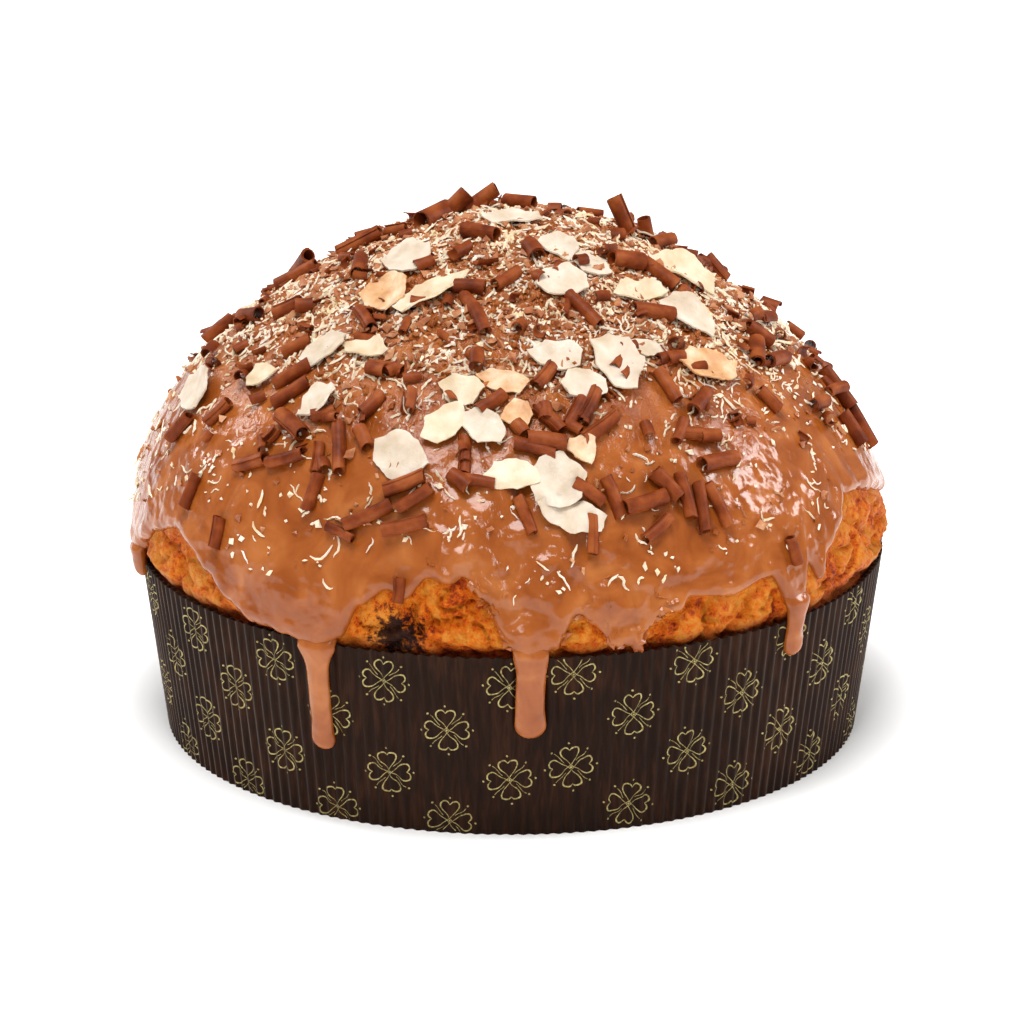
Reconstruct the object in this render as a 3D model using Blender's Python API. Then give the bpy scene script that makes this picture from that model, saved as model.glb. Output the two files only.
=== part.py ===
"""A low panettone, baked in its fluted paper case and glazed with milk chocolate.

Three solids. The paper case is a fluted cup. The baked cake fills it, tucks in under the case's rim and
swells over it as a tall dome. The glaze is a skin on the dome with a lobed lower edge and drips that run
over the paper, and the rolled curls and shaved flakes that lie in it are fused to it.

Metres, +Z up, origin at the middle of the case's underside. Directions round the cake are angles in
degrees from the front (-Y), positive towards +X. Places on the dome are that angle and the angle down
from the crown, seen from the dome's centre.
"""

import math
import random

import bmesh
import bpy
from mathutils import Matrix, Vector, noise

# The paper case: a cup 210 mm across its base that the dough pushed open to 224 mm at the rim.
BASE_RADIUS = 0.105
RIM_RADIUS = 0.112
CASE_HEIGHT = 0.0555
FLUTES = 196
FLUTE_DEPTH = 0.0009
RIM_SCALLOP = 0.0004
PAPER = 0.0006
LINER_SIDES = 56

# The dome: a ball of 95 mm radius whose shoulder swells by 20 mm between these angles from the crown.
DOME_CENTRE = 0.060
CROWN_RADIUS = 0.095
SHOULDER_SWELL = 0.020
SWELL_FROM = 30.0
SWELL_TO = 92.0
LEFT_FULLER = 0.0016
FULLEST_AT = 62.0
FULLEST_SPREAD = 18.0

# Angles from the crown of the rings that the crust and the glaze's underside share, so that they stay
# parallel, depths below the glaze's skin, and the clearance that separate solids keep.
SHARED_RINGS = (11, 22, 33, 44, 54, 63, 71, 77, 82, 86, 89)
ROUGH_FROM = 68
GLAZE_THICKNESS = 0.0026
CRUST_DEPTH = 0.0032
CLEARANCE = 0.00045

# The baked cake. Its crust lies CRUST_DEPTH under the glaze and swells to BARE_DEPTH where it is bare.
# Below the dome it draws in by TUCK_GAP under the rim, and meets the liner again at SEAT_HEIGHT.
COLUMNS = 56
CRUST_ROUGHNESS = 0.0007
CRUST_GRAIN = 0.011
BARE_DEPTH = 0.0006
BARE_BLEND = 2.0
NECK_HEIGHT = 0.0575
TUCK_HEIGHT = 0.0545
TUCK_GAP = 0.0026
TUCK_GRAIN = 0.03
SEAT_HEIGHT = 0.047
FOOT_ROUNDING = 0.004

# The glaze's skin: rows that crowd towards its edge, and a lip that turns under.
SKIN_COLUMNS = 180
SKIN_ROWS = 9
ROW_CROWDING = 1.25
LAST_ROW = 0.985
LIP_REACH = 0.6
LIP_DEPTH = 0.0008
SKIN_KEPT = 0.44

# Lower edge of the glaze: (direction, angle from the crown). Past 90 it hangs over the case's rim.
GLAZE_EDGE = (
    (-180, 78), (-172, 80), (-164, 85), (-157, 90), (-150, 92), (-143, 88), (-137, 82), (-128, 79),
    (-120, 82), (-114, 88), (-109, 91), (-103, 87), (-97, 86), (-90, 89.5), (-84, 90.5), (-77, 91),
    (-73, 88), (-68, 85), (-60, 82.5), (-55, 83.5), (-50, 85.5), (-45, 87.5), (-40, 91), (-34, 92.5),
    (-29, 93), (-25.5, 90), (-22, 86), (-18, 83.3), (-15.5, 84.6), (-12, 81.2), (-9, 82), (-7, 81),
    (-4, 84.5), (-0.5, 91), (2.5, 92), (6, 91), (9.5, 87), (12, 87.5), (15, 92), (18, 91.5),
    (21, 88.3), (24.5, 87.5), (26.5, 85.3), (33, 86.3), (39, 85), (42, 89.5), (44.5, 89.5), (47, 84.3),
    (50, 87.8), (52, 84.7), (58, 81.5), (63, 78), (68, 78.5), (75, 80.5), (82, 82.5), (90, 85),
    (99, 84), (106, 87), (112, 91), (118, 90), (124, 85), (131, 80), (139, 78), (146, 82),
    (152, 88), (158, 92), (164, 91), (170, 86), (176, 80),
)

# Drips: (direction, height of the tip, width).
DRIPS = (
    (-78, 0.0500, 0.0080), (-27.5, 0.0220, 0.0072), (2.7, 0.0310, 0.0096), (43.5, 0.0410, 0.0070),
    (112, 0.0300, 0.0080), (159, 0.0180, 0.0085), (-151, 0.0340, 0.0075), (-109, 0.0430, 0.0070),
)
DRIP_FLATNESS = 0.62
DRIP_PROUD = 0.35
DRIP_OVERLAP = 2.0
DRIP_TOP = 0.064

# Shaved white flakes: (direction, angle from the crown, turn from downhill, length, width in mm).
FLAKES = (
    (0, 5, 90, 17, 9), (-50, 24, 80, 18, 14), (-43, 33, 60, 17, 14), (-27, 31, -34, 24, 8),
    (-35, 46, 85, 14, 7), (-46, 48, -20, 15, 11), (-38, 57, -10, 13, 11), (-72, 63, 80, 18, 15),
    (-56, 56, -40, 10, 7), (-19, 64, 60, 16, 14), (-10, 52, 70, 12, 10), (-12, 58, -30, 14, 10),
    (-5, 58, 60, 15, 10), (-2, 50, 70, 14, 8), (11, 45, 75, 15, 10), (15, 51, 80, 13, 11),
    (24, 47, -5, 20, 12), (33, 45, 80, 13, 7), (27, 18, 20, 12, 8), (19, 28, 80, 15, 11),
    (36, 24, 10, 12, 9), (75, 33, 20, 20, 14), (45, 33, 80, 18, 7), (53, 41, 30, 18, 10),
    (46, 51, 60, 19, 11), (0, 66, 90, 14, 9), (7, 67, 30, 16, 15), (9, 72, 70, 17, 10),
    (12, 62, 40, 9, 8), (1, 56, 10, 9, 8),
)
FLAKE_SIDES = 7
FLAKE_THICKNESS = 0.8
FLAKE_CUP = 0.03
FLAKE_SINK = 0.2
FLAKE_TILT = 4.0
FLAKE_RAGGED = (0.85, 1.12)

# Rolled curls: (direction, angle from the crown, turn from downhill, length, width in mm).
CURLS = (
    (-8, 63, 5, 11, 3.6), (-6, 67, 83, 12, 3.6), (2, 72, 21, 11, 3.6), (4, 62, 70, 12, 4),
    (6, 61, 80, 11, 5), (12, 75, -5, 11, 3.4), (12, 69, 50, 10, 3.8), (16, 70, 12, 12, 4),
    (21, 71, -80, 13, 4.4), (22, 75, -57, 10, 3.6), (25, 69, 33, 10, 4.4), (28, 71, 0, 13, 3.8),
    (30, 73, -7, 14, 3.8), (33, 73, 13, 13, 3.6), (36, 67, 90, 12, 4.6), (34, 62, 75, 12, 4),
    (31, 61, -42, 8, 3.6), (45, 82, 10, 8, 3.4), (-17, 68, -62, 12, 4.2), (-15, 70, -52, 11, 3.8),
    (-22, 73, -60, 15, 4.2), (-16, 74, -73, 13, 4), (-26, 76, 75, 9, 3), (-32, 71, -4, 11, 3.6),
    (-48, 80, 3, 9, 3.6), (-57, 76, -5, 10, 3.8), (-46, 69, -64, 11, 4), (-39, 67, -64, 12, 3.8),
    (-41, 62, 70, 12, 5), (-33, 66, 14, 9, 3.4), (-30, 64, 22, 15, 4), (-26, 62, 40, 7, 4.4),
    (-27, 56, -26, 8, 4), (-28, 49, 88, 11, 4), (-46, 57, -33, 12, 4), (-49, 54, -35, 12, 4.2),
    (-55, 49, -30, 9, 4), (-60, 64, -25, 9, 3.6), (-69, 69, -25, 10, 4), (-95, 57, 5, 11, 4.2),
    (-85, 50, -60, 12, 4.6), (-100, 42, -10, 15, 4.8), (-72, 44, -30, 9, 4.2), (-95, 28, 5, 14, 4.6),
    (-68, 30, 60, 10, 4.6), (-42, 40, 60, 11, 4), (-15, 29, 90, 9, 4.4), (-13, 33, 38, 8, 4),
    (-9, 37, 25, 11, 4), (-2, 26, -45, 9, 4), (22, 35, 20, 14, 4.4), (12, 18, 10, 7, 5),
    (-25, 13, 85, 11, 4.6), (52, 26, 60, 10, 5.4), (60, 31, 5, 12, 4.4), (43, 38, 65, 13, 4.6),
    (38, 48, 85, 9, 4), (33, 53, 5, 11, 4), (38, 57, -60, 9, 4.6), (56, 60, 15, 8, 3.8),
    (64, 52, -60, 11, 5), (69, 55, 80, 11, 4.6), (72, 50, 20, 9, 4.6), (85, 66, -10, 14, 4.6),
    (76, 71, 0, 11, 4.4), (84, 73, -10, 13, 4), (98, 36, 70, 12, 4.4), (105, 40, 10, 10, 4.4),
    (-100, 14, 60, 12, 6.5), (-130, 10, 30, 12, 5), (170, 8, 70, 10, 4.6), (7, 49, -38, 9, 4),
    (-4, 54, -50, 9, 4), (7, 57, 40, 10, 4), (12, 56, -33, 10, 4), (15, 55, -34, 12, 4),
    (16, 59, -58, 13, 4.2), (-16, 83, 0, 7, 3.4),
)
CURL_SIDES = 6
CURL_SINK = 0.6

# Curls with one end up: the same, and how steeply they stand.
STANDING_CURLS = (
    (95, 19.5, 175, 13, 4.8, 47), (103, 25, 180, 7, 4.6, 55), (-137, 7.5, -133, 11, 4.6, 32),
    (-112, 11, -158, 11, 4.8, 34), (-115, 45, 150, 14, 4.6, 12), (105, 41, 165, 9, 4.4, 18),
)

# Toppings on the far side, where no one place matters, drawn evenly round it.
FAR_SIDE_CURLS = 18
FAR_SIDE_FLAKES = 8
FAR_SIDE_FROM = 105.0
FAR_SIDE_TO = 250.0
FAR_SIDE_TOP = 20.0
FAR_SIDE_FOOT = 76.0
FAR_SIDE_WANDER = 4.0
GOLDEN_SHARE = 0.618034

MM = 0.001


def smooth(t):
    """0 to 1 with level ends."""
    t = max(0.0, min(1.0, t))
    return t * t * (3.0 - 2.0 * t)


def skin_radius(direction, down):
    """Distance from the dome's centre to the glaze's skin."""
    swell = SHOULDER_SWELL * smooth((down - SWELL_FROM) / (SWELL_TO - SWELL_FROM))
    lean = math.exp(-(((down - FULLEST_AT) / FULLEST_SPREAD) ** 2))
    return CROWN_RADIUS + swell - LEFT_FULLER * lean * math.sin(math.radians(direction))


def polar(direction, radius, height):
    """Point at a radius from the axis, in a direction from the front."""
    angle = math.radians(direction)
    return Vector((radius * math.sin(angle), -radius * math.cos(angle), height))


def on_dome(direction, down, depth=0.0):
    """Point on the dome, this far below the glaze's skin."""
    reach = skin_radius(direction, down) - depth
    angle = math.radians(down)
    return polar(direction, reach * math.sin(angle), DOME_CENTRE + reach * math.cos(angle))


def seat_on_dome(direction, down):
    """Matrix of a place on the skin: X sideways, Y uphill, Z outwards."""
    place = on_dome(direction, down)
    side = polar(direction + 90.0, 1.0, 0.0)
    uphill = (on_dome(direction, down - 0.5) - on_dome(direction, down + 0.5)).normalized()
    out = side.cross(uphill)
    return Matrix.Translation(place) @ Matrix((side, uphill, out)).transposed().to_4x4()


def wall_radius(height):
    """Outer radius of the case's wall, on the flutes' crests."""
    return BASE_RADIUS + (RIM_RADIUS - BASE_RADIUS) * height / CASE_HEIGHT


def liner_radius(height):
    """Inner radius of the case's wall, on the flat liner behind the flutes."""
    return wall_radius(height) - FLUTE_DEPTH - PAPER


def edge_angle(direction):
    """How far down the glaze reaches in a direction."""
    wrapped = (direction + 180.0) % 360.0 - 180.0
    points = GLAZE_EDGE + ((GLAZE_EDGE[0][0] + 360, GLAZE_EDGE[0][1]),)
    for (start, first), (end, second) in zip(points, points[1:]):
        if wrapped <= end:
            return first + (second - first) * smooth((wrapped - start) / (end - start))
    return points[-1][1]


def new_object(name, mesh_builder, collection):
    """Object whose mesh a bmesh has made, with its normals outwards."""
    bmesh.ops.recalc_face_normals(mesh_builder, faces=mesh_builder.faces)
    mesh = bpy.data.meshes.new(name)
    mesh_builder.to_mesh(mesh)
    mesh_builder.free()
    made = bpy.data.objects.new(name, mesh)
    collection.objects.link(made)
    return made


def ringed_body(name, columns, rings, crown, foot, collection):
    """Closed body from a sphere whose rings are moved: each ring is a function from direction to a point."""
    shape = bmesh.new()
    bmesh.ops.create_uvsphere(shape, u_segments=columns, v_segments=len(rings) + 1, radius=1.0)
    for vert in shape.verts:
        down = math.degrees(vert.co.angle(Vector((0, 0, 1))))
        ring = round(down * (len(rings) + 1) / 180.0)
        direction = math.degrees(math.atan2(vert.co.x, -vert.co.y))
        if ring == 0:
            vert.co = crown
        elif ring > len(rings):
            vert.co = foot
        else:
            vert.co = rings[ring - 1](direction)
    return new_object(name, shape, collection)


def dome_ring(down, depth):
    """Ring of the dome at one angle from the crown."""
    return lambda direction: on_dome(direction, down, depth)


def crust_ring(down, above):
    """Ring of the crust, which swells out to the glaze's skin once the ring above is clear of the glaze."""

    def place(direction):
        lowest = max(edge_angle(direction + step) for step in (-6, -3, 0, 3, 6))
        bare = smooth(0.5 + (above - lowest) / BARE_BLEND)
        depth = CRUST_DEPTH + bare * (BARE_DEPTH - CRUST_DEPTH)
        rough = CRUST_ROUGHNESS * (1.0 + noise.noise(on_dome(direction, down, depth) / CRUST_GRAIN))
        return on_dome(direction, down, depth + (rough if down > ROUGH_FROM else 0.0))

    return place


def turned_ring(radius, height, wander=0.0):
    """Ring at one height, whose radius may wander inwards."""

    def place(direction):
        inwards = wander * smooth(0.5 + noise.noise(polar(direction, radius, height) / TUCK_GRAIN))
        return polar(direction, radius - inwards, height)

    return place


def apply_modifiers(thing):
    """Replaces an object's mesh by what its modifiers make of it."""
    bpy.context.view_layer.update()
    evaluated = thing.evaluated_get(bpy.context.evaluated_depsgraph_get())
    finished = bpy.data.meshes.new_from_object(evaluated)
    thing.modifiers.clear()
    thing.data = finished


def boolean(thing, operation, other):
    """One Boolean with an object or with all of a collection, applied."""
    step = thing.modifiers.new(operation.title(), "BOOLEAN")
    step.operation = operation
    if isinstance(other, bpy.types.Collection):
        step.operand_type = "COLLECTION"
        step.collection = other
    else:
        step.object = other
    apply_modifiers(thing)


def keep_outer_shell(thing):
    """Drops the loose scraps and the sealed hollows that a union leaves."""
    shape = bmesh.new()
    shape.from_mesh(thing.data)
    unseen = set(shape.verts)
    shells = []
    while unseen:
        frontier = [unseen.pop()]
        shell = list(frontier)
        while frontier:
            for edge in frontier.pop().link_edges:
                for vert in edge.verts:
                    if vert in unseen:
                        unseen.remove(vert)
                        frontier.append(vert)
                        shell.append(vert)
        shells.append(shell)
    largest = max(shells, key=len)
    scraps = [vert for shell in shells if shell is not largest for vert in shell]
    bmesh.ops.delete(shape, geom=scraps, context="VERTS")
    shape.to_mesh(thing.data)
    shape.free()


def finish(thing, colour, roughness, crease=40.0):
    """Gives a solid its material and its smooth shading."""
    material = bpy.data.materials.new(thing.name)
    material.use_nodes = True
    shader = material.node_tree.nodes["Principled BSDF"]
    shader.inputs["Base Color"].default_value = (*colour, 1.0)
    shader.inputs["Roughness"].default_value = roughness
    shader.inputs["Metallic"].default_value = 0.0
    thing.data.materials.clear()
    thing.data.materials.append(material)
    thing.data.shade_smooth()
    thing.data.set_sharp_from_angle(angle=math.radians(crease))


def paper_case(parts):
    """Fluted cup: a fluted wall and a flat liner, joined along the rim, each with its own floor."""
    shape = bmesh.new()
    bmesh.ops.create_cone(
        shape, cap_ends=False, segments=2 * FLUTES,
        radius1=BASE_RADIUS, radius2=RIM_RADIUS, depth=CASE_HEIGHT,
    )
    bmesh.ops.translate(shape, verts=shape.verts, vec=(0, 0, CASE_HEIGHT / 2))
    for vert in shape.verts:
        radius = math.hypot(vert.co.x, vert.co.y)
        half_flutes = round(math.degrees(math.atan2(vert.co.y, vert.co.x)) * FLUTES / 180.0)
        crest = half_flutes % 2 == 0
        if not crest:
            vert.co.xy *= (radius - FLUTE_DEPTH) / radius
            vert.co.z -= RIM_SCALLOP * (vert.co.z > 0)
    outer_top = [edge for edge in shape.edges if min(vert.co.z for vert in edge.verts) > 0.01]
    outer_foot = [edge for edge in shape.edges if max(vert.co.z for vert in edge.verts) < 0.01]

    depth = CASE_HEIGHT - RIM_SCALLOP - PAPER
    liner = bmesh.ops.create_cone(
        shape, cap_ends=False, segments=LINER_SIDES,
        radius1=liner_radius(PAPER), radius2=liner_radius(CASE_HEIGHT), depth=depth,
    )["verts"]
    bmesh.ops.translate(shape, verts=liner, vec=(0, 0, PAPER + depth / 2))
    liner_edges = {edge for vert in liner for edge in vert.link_edges}
    inner_top = [edge for edge in liner_edges if min(vert.co.z for vert in edge.verts) > 0.01]
    inner_foot = [edge for edge in liner_edges if max(vert.co.z for vert in edge.verts) < 0.01]
    bmesh.ops.bridge_loops(shape, edges=outer_top + inner_top)
    bmesh.ops.contextual_create(shape, geom=outer_foot)
    bmesh.ops.contextual_create(shape, geom=inner_foot)
    case = new_object("paper_case", shape, parts)
    finish(case, (0.045, 0.022, 0.014), 0.6, crease=80.0)
    return case


def baked_cake(parts):
    """Dome with a rough crust, tucked in under the rim, and a foot that fills the case."""
    floor = PAPER + CLEARANCE
    rings = [crust_ring(down, above) for above, down in zip((0,) + SHARED_RINGS, SHARED_RINGS)]
    tucked = liner_radius(TUCK_HEIGHT) - TUCK_GAP / 2
    rings.append(turned_ring(tucked, NECK_HEIGHT, TUCK_GAP / 2))
    rings.append(turned_ring(tucked, TUCK_HEIGHT, TUCK_GAP))
    for height in (SEAT_HEIGHT, FOOT_ROUNDING):
        rings.append(turned_ring(liner_radius(height) - CLEARANCE, height))
    rings.append(turned_ring(liner_radius(floor) - FOOT_ROUNDING, floor))
    crown = on_dome(0, 0, CRUST_DEPTH)
    cake = ringed_body("baked_cake", COLUMNS, rings, crown, Vector((0, 0, floor)), parts)
    finish(cake, (0.55, 0.22, 0.05), 0.75)
    return cake


def glaze_skin(parts):
    """Closed body under the glaze's outer face. Its inside is cut away later."""

    def down_to_edge(share):
        return lambda direction: on_dome(direction, share * edge_angle(direction))

    def lip(direction):
        return on_dome(direction, edge_angle(direction) + LIP_REACH, LIP_DEPTH)

    def tucked(direction):
        return on_dome(direction, edge_angle(direction) + LIP_REACH / 2, GLAZE_THICKNESS + LIP_DEPTH)

    shares = [1.0 - (1.0 - row / SKIN_ROWS) ** ROW_CROWDING for row in range(1, SKIN_ROWS + 1)]
    rings = [down_to_edge(share * LAST_ROW) for share in shares] + [lip, tucked]
    foot = Vector((0, 0, CASE_HEIGHT))
    skin = ringed_body("milk_chocolate_glaze", SKIN_COLUMNS, rings, on_dome(0, 0), foot, parts)
    thin = skin.modifiers.new("Fewer flat faces", "DECIMATE")
    thin.ratio = SKIN_KEPT
    apply_modifiers(skin)
    return skin


def drip(direction, tip_height, width, toppings):
    """Round-ended tongue down the case's wall, from inside the glaze's edge to its tip."""
    shape = bmesh.new()
    bmesh.ops.create_uvsphere(shape, u_segments=10, v_segments=8, radius=width / 2)
    top = min(on_dome(direction, edge_angle(direction) - DRIP_OVERLAP).z, DRIP_TOP)
    rise = top - tip_height - width / 2
    for vert in shape.verts:
        vert.co.y *= DRIP_FLATNESS
        if vert.co.z > -width / 100:
            vert.co.z += rise
        height = tip_height + width / 2 + vert.co.z
        middle = wall_radius(min(height, CASE_HEIGHT)) + DRIP_PROUD * DRIP_FLATNESS * width / 2
        place = polar(direction, middle - vert.co.y, height)
        vert.co = place + polar(direction + 90.0, vert.co.x, 0.0)
    return new_object("drip", shape, toppings)


def curl(direction, down, turn, length, width, toppings, lean=0.0):
    """Rolled curl: a short bar that lies in the glaze, or has one end up."""
    shape = bmesh.new()
    bmesh.ops.create_cone(
        shape, cap_ends=True, segments=CURL_SIDES, radius1=width / 2, radius2=width / 2, depth=length,
    )
    lean = math.radians(lean)
    lay = Matrix.Rotation(math.radians(turn), 4, "Z") @ Matrix.Rotation(math.pi / 2 - lean, 4, "X")
    rise = width / 2 * math.cos(lean) + length / 2 * math.sin(lean) - CURL_SINK * (1.0 + math.sin(lean))
    place = seat_on_dome(direction, down) @ Matrix.Scale(MM, 4) @ Matrix.Translation((0, 0, rise)) @ lay
    bmesh.ops.transform(shape, matrix=place, verts=shape.verts)
    return new_object("curl", shape, toppings)


def flake(direction, down, turn, length, width, toppings):
    """Shaved flake: a thin cupped plate with a ragged outline of its own, lying in the glaze."""
    draw = random.Random(round(down) * 1000 + round(direction))
    shape = bmesh.new()
    bmesh.ops.create_circle(shape, cap_ends=True, cap_tris=True, segments=FLAKE_SIDES, radius=1.0)
    for vert in shape.verts:
        reach = vert.co.length
        ragged = draw.uniform(*FLAKE_RAGGED)
        vert.co = (vert.co.x * width / 2 * ragged, vert.co.y * length / 2 * ragged, FLAKE_CUP * width * reach)
    top = bmesh.ops.extrude_face_region(shape, geom=shape.faces[:], use_keep_orig=True)["geom"]
    bmesh.ops.translate(
        shape, verts=[item for item in top if isinstance(item, bmesh.types.BMVert)],
        vec=(0, 0, FLAKE_THICKNESS),
    )
    tilt = Matrix.Rotation(math.radians(draw.uniform(-FLAKE_TILT, FLAKE_TILT)), 4, "Y")
    turned = Matrix.Rotation(math.radians(turn), 4, "Z") @ tilt
    sunk = Matrix.Translation((0, 0, -FLAKE_SINK))
    place = seat_on_dome(direction, down) @ Matrix.Scale(MM, 4) @ sunk @ turned
    bmesh.ops.transform(shape, matrix=place, verts=shape.verts)
    return new_object("flake", shape, toppings)


def far_side_rows(count, lengths, widths):
    """Places on the far side, spread evenly by area with a little wander."""
    draw = random.Random(count)
    top = math.cos(math.radians(FAR_SIDE_TOP))
    foot = math.cos(math.radians(FAR_SIDE_FOOT))
    for index in range(count):
        share = (index * GOLDEN_SHARE) % 1.0
        direction = FAR_SIDE_FROM + (FAR_SIDE_TO - FAR_SIDE_FROM) * share
        level = top + (foot - top) * (index + 0.5) / count
        down = math.degrees(math.acos(level))
        wander = draw.uniform(-FAR_SIDE_WANDER, FAR_SIDE_WANDER)
        yield (
            direction + wander, down, draw.uniform(-90, 90), draw.uniform(*lengths), draw.uniform(*widths),
        )


def envelope(cutters):
    """Everything that the glaze must clear: the crust, and the case with its cake inside."""
    rings = [dome_ring(down, GLAZE_THICKNESS) for down in SHARED_RINGS]
    rings.append(turned_ring(wall_radius(CASE_HEIGHT) + CLEARANCE, CASE_HEIGHT + CLEARANCE))
    rings.append(turned_ring(wall_radius(0) + CLEARANCE, -CLEARANCE))
    crown = on_dome(0, 0, GLAZE_THICKNESS)
    return ringed_body("envelope", COLUMNS, rings, crown, Vector((0, 0, -CLEARANCE)), cutters)


def milk_chocolate_glaze(parts, cutters, toppings):
    """Glaze with its drips, curls and flakes fused, hollowed to lie on the crust."""
    glaze = glaze_skin(parts)
    for row in DRIPS:
        drip(*row, toppings)
    for row in CURLS:
        curl(*row, toppings)
    for row in STANDING_CURLS:
        curl(*row[:5], toppings, lean=row[5])
    for row in far_side_rows(FAR_SIDE_CURLS, (8, 13), (3.6, 4.8)):
        curl(*row, toppings)
    for row in FLAKES:
        flake(*row, toppings)
    for row in far_side_rows(FAR_SIDE_FLAKES, (11, 18), (8, 13)):
        flake(*row, toppings)
    boolean(glaze, "UNION", toppings)
    for topping in list(toppings.objects):
        bpy.data.objects.remove(topping)
    boolean(glaze, "DIFFERENCE", envelope(cutters))
    keep_outer_shell(glaze)
    finish(glaze, (0.47, 0.19, 0.075), 0.3)
    return glaze


def main():
    for old in list(bpy.data.objects):
        bpy.data.objects.remove(old)
    scene = bpy.context.scene.collection
    parts = bpy.data.collections.new("panettone")
    cutters = bpy.data.collections.new("cutters")
    toppings = bpy.data.collections.new("toppings")
    for group in (parts, cutters, toppings):
        scene.children.link(group)
    paper_case(parts)
    baked_cake(parts)
    milk_chocolate_glaze(parts, cutters, toppings)
    for cutter in cutters.objects:
        cutter.hide_render = True
        cutter.display_type = "WIRE"


main()
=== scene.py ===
"""A low panettone in its printed paper case, glazed with milk chocolate under curls, flakes and shreds."""

import functools
import math
import random

import bmesh
import bpy
from mathutils import Matrix, Vector, noise


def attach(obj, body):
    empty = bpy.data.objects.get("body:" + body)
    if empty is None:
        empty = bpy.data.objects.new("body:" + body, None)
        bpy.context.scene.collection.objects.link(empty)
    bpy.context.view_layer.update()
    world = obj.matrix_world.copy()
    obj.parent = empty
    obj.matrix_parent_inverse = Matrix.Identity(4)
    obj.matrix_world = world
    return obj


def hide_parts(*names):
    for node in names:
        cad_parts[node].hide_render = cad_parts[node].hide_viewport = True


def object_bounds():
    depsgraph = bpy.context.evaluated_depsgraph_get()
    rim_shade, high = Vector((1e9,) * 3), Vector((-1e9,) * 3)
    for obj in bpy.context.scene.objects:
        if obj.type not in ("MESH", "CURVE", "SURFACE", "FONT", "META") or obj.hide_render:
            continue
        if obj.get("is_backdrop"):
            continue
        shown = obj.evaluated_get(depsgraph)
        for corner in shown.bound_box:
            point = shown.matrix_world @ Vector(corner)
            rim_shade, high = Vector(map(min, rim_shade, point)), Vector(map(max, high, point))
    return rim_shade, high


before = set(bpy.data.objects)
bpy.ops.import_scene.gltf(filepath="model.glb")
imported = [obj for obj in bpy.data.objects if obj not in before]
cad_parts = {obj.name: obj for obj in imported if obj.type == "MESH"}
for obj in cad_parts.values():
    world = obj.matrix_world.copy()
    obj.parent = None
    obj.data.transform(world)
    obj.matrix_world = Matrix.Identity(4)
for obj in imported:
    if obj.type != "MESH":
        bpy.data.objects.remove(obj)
cad_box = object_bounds()

# The noise that bends the crust and the flakes has a fixed seed, so each run gives the same shapes.
NOISE_SEED = 1795890145
noise.seed_set(NOISE_SEED)

# The photograph's view: a long lens, a little above the table, aimed at the panettone's middle.
AIM_HEIGHT = 0.0623
CAMERA_DISTANCE = 1.2
CAMERA_ELEVATION = 17.53
LENS = 139.6
SENSOR_WIDTH = 36.0
SIDE_SHIFT = 0.00042

tilt = math.radians(CAMERA_ELEVATION)
lens = bpy.data.cameras.new("photo_view")
lens.lens = LENS
lens.sensor_width = SENSOR_WIDTH
lens.shift_x = SIDE_SHIFT
camera = bpy.data.objects.new("photo_view", lens)
camera.location = (
    0.0,
    -CAMERA_DISTANCE * math.cos(tilt),
    AIM_HEIGHT + CAMERA_DISTANCE * math.sin(tilt),
)
camera.rotation_euler = (math.pi / 2 - tilt, 0.0, 0.0)
bpy.context.scene.collection.objects.link(camera)
bpy.context.scene.camera = camera


# Paper case: brown baking paper, pressed into 196 upright flutes round a smooth liner and glued to its
# floor. The dough pushes it open towards the rim, whose cut edge stays scalloped. Directions are degrees
# from the front, positive to the right.
MM = 0.001
BASE_RADIUS = 0.105
RIM_RADIUS = 0.112
CASE_HEIGHT = 0.0555
FLUTES = 196
FLUTE_DEPTH = 0.0009
PAPER = 0.0006
FLUTE_WANDER = 0.5
FLUTE_UNEVEN = 0.2
RIM_DIP = 0.0006
RIM_RAGGED = 0.00025
COLUMNS_PER_FLUTE = 8
WALL_ROWS = 9
LINER_HEIGHTS = (PAPER, 0.03, CASE_HEIGHT)
CASE_CREASE = 70.0


def smooth(t):
    """0 to 1 with level ends."""
    t = max(0.0, min(1.0, t))
    return t * t * (3.0 - 2.0 * t)


def mix(a, b, share):
    """Between a at 0 and b at 1."""
    return a + (b - a) * share


def polar(direction, radius, height):
    """Point at a radius from the axis, in a direction from the front."""
    angle = math.radians(direction)
    return Vector((radius * math.sin(angle), -radius * math.cos(angle), height))


def wall_radius(height):
    """Radius of the flutes' crests."""
    return BASE_RADIUS + (RIM_RADIUS - BASE_RADIUS) * height / CASE_HEIGHT


def wall_place(direction, height, proud=0.0):
    """Point on the fluted face, or a little proud of it."""
    wander = FLUTE_WANDER * noise.noise(polar(direction, 0.02, height * 0.2) / 0.004)
    wave = 0.5 - 0.5 * math.cos(math.radians(direction) * FLUTES + wander)
    swing = 1.0 - FLUTE_UNEVEN + FLUTE_UNEVEN * noise.noise(polar(direction, RIM_RADIUS, 0) / 0.006)
    return polar(direction, wall_radius(height) - FLUTE_DEPTH * swing * wave + proud, height)


def rim_height(direction):
    """Height of the cut edge, dipping behind each flute."""
    wave = 0.5 - 0.5 * math.cos(math.radians(direction) * FLUTES)
    torn = RIM_RAGGED * (1.0 + noise.noise(polar(direction, RIM_RADIUS, 0) / 0.005))
    return CASE_HEIGHT - RIM_DIP * wave - torn


def finished(name, shape, material):
    """Object at the origin from a bmesh, shaded smooth, with its material."""
    mesh = bpy.data.meshes.new(name)
    shape.to_mesh(mesh)
    shape.free()
    mesh.materials.append(material)
    mesh.shade_smooth()
    made = bpy.data.objects.new(name, mesh)
    bpy.context.scene.collection.objects.link(made)
    return made


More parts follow.
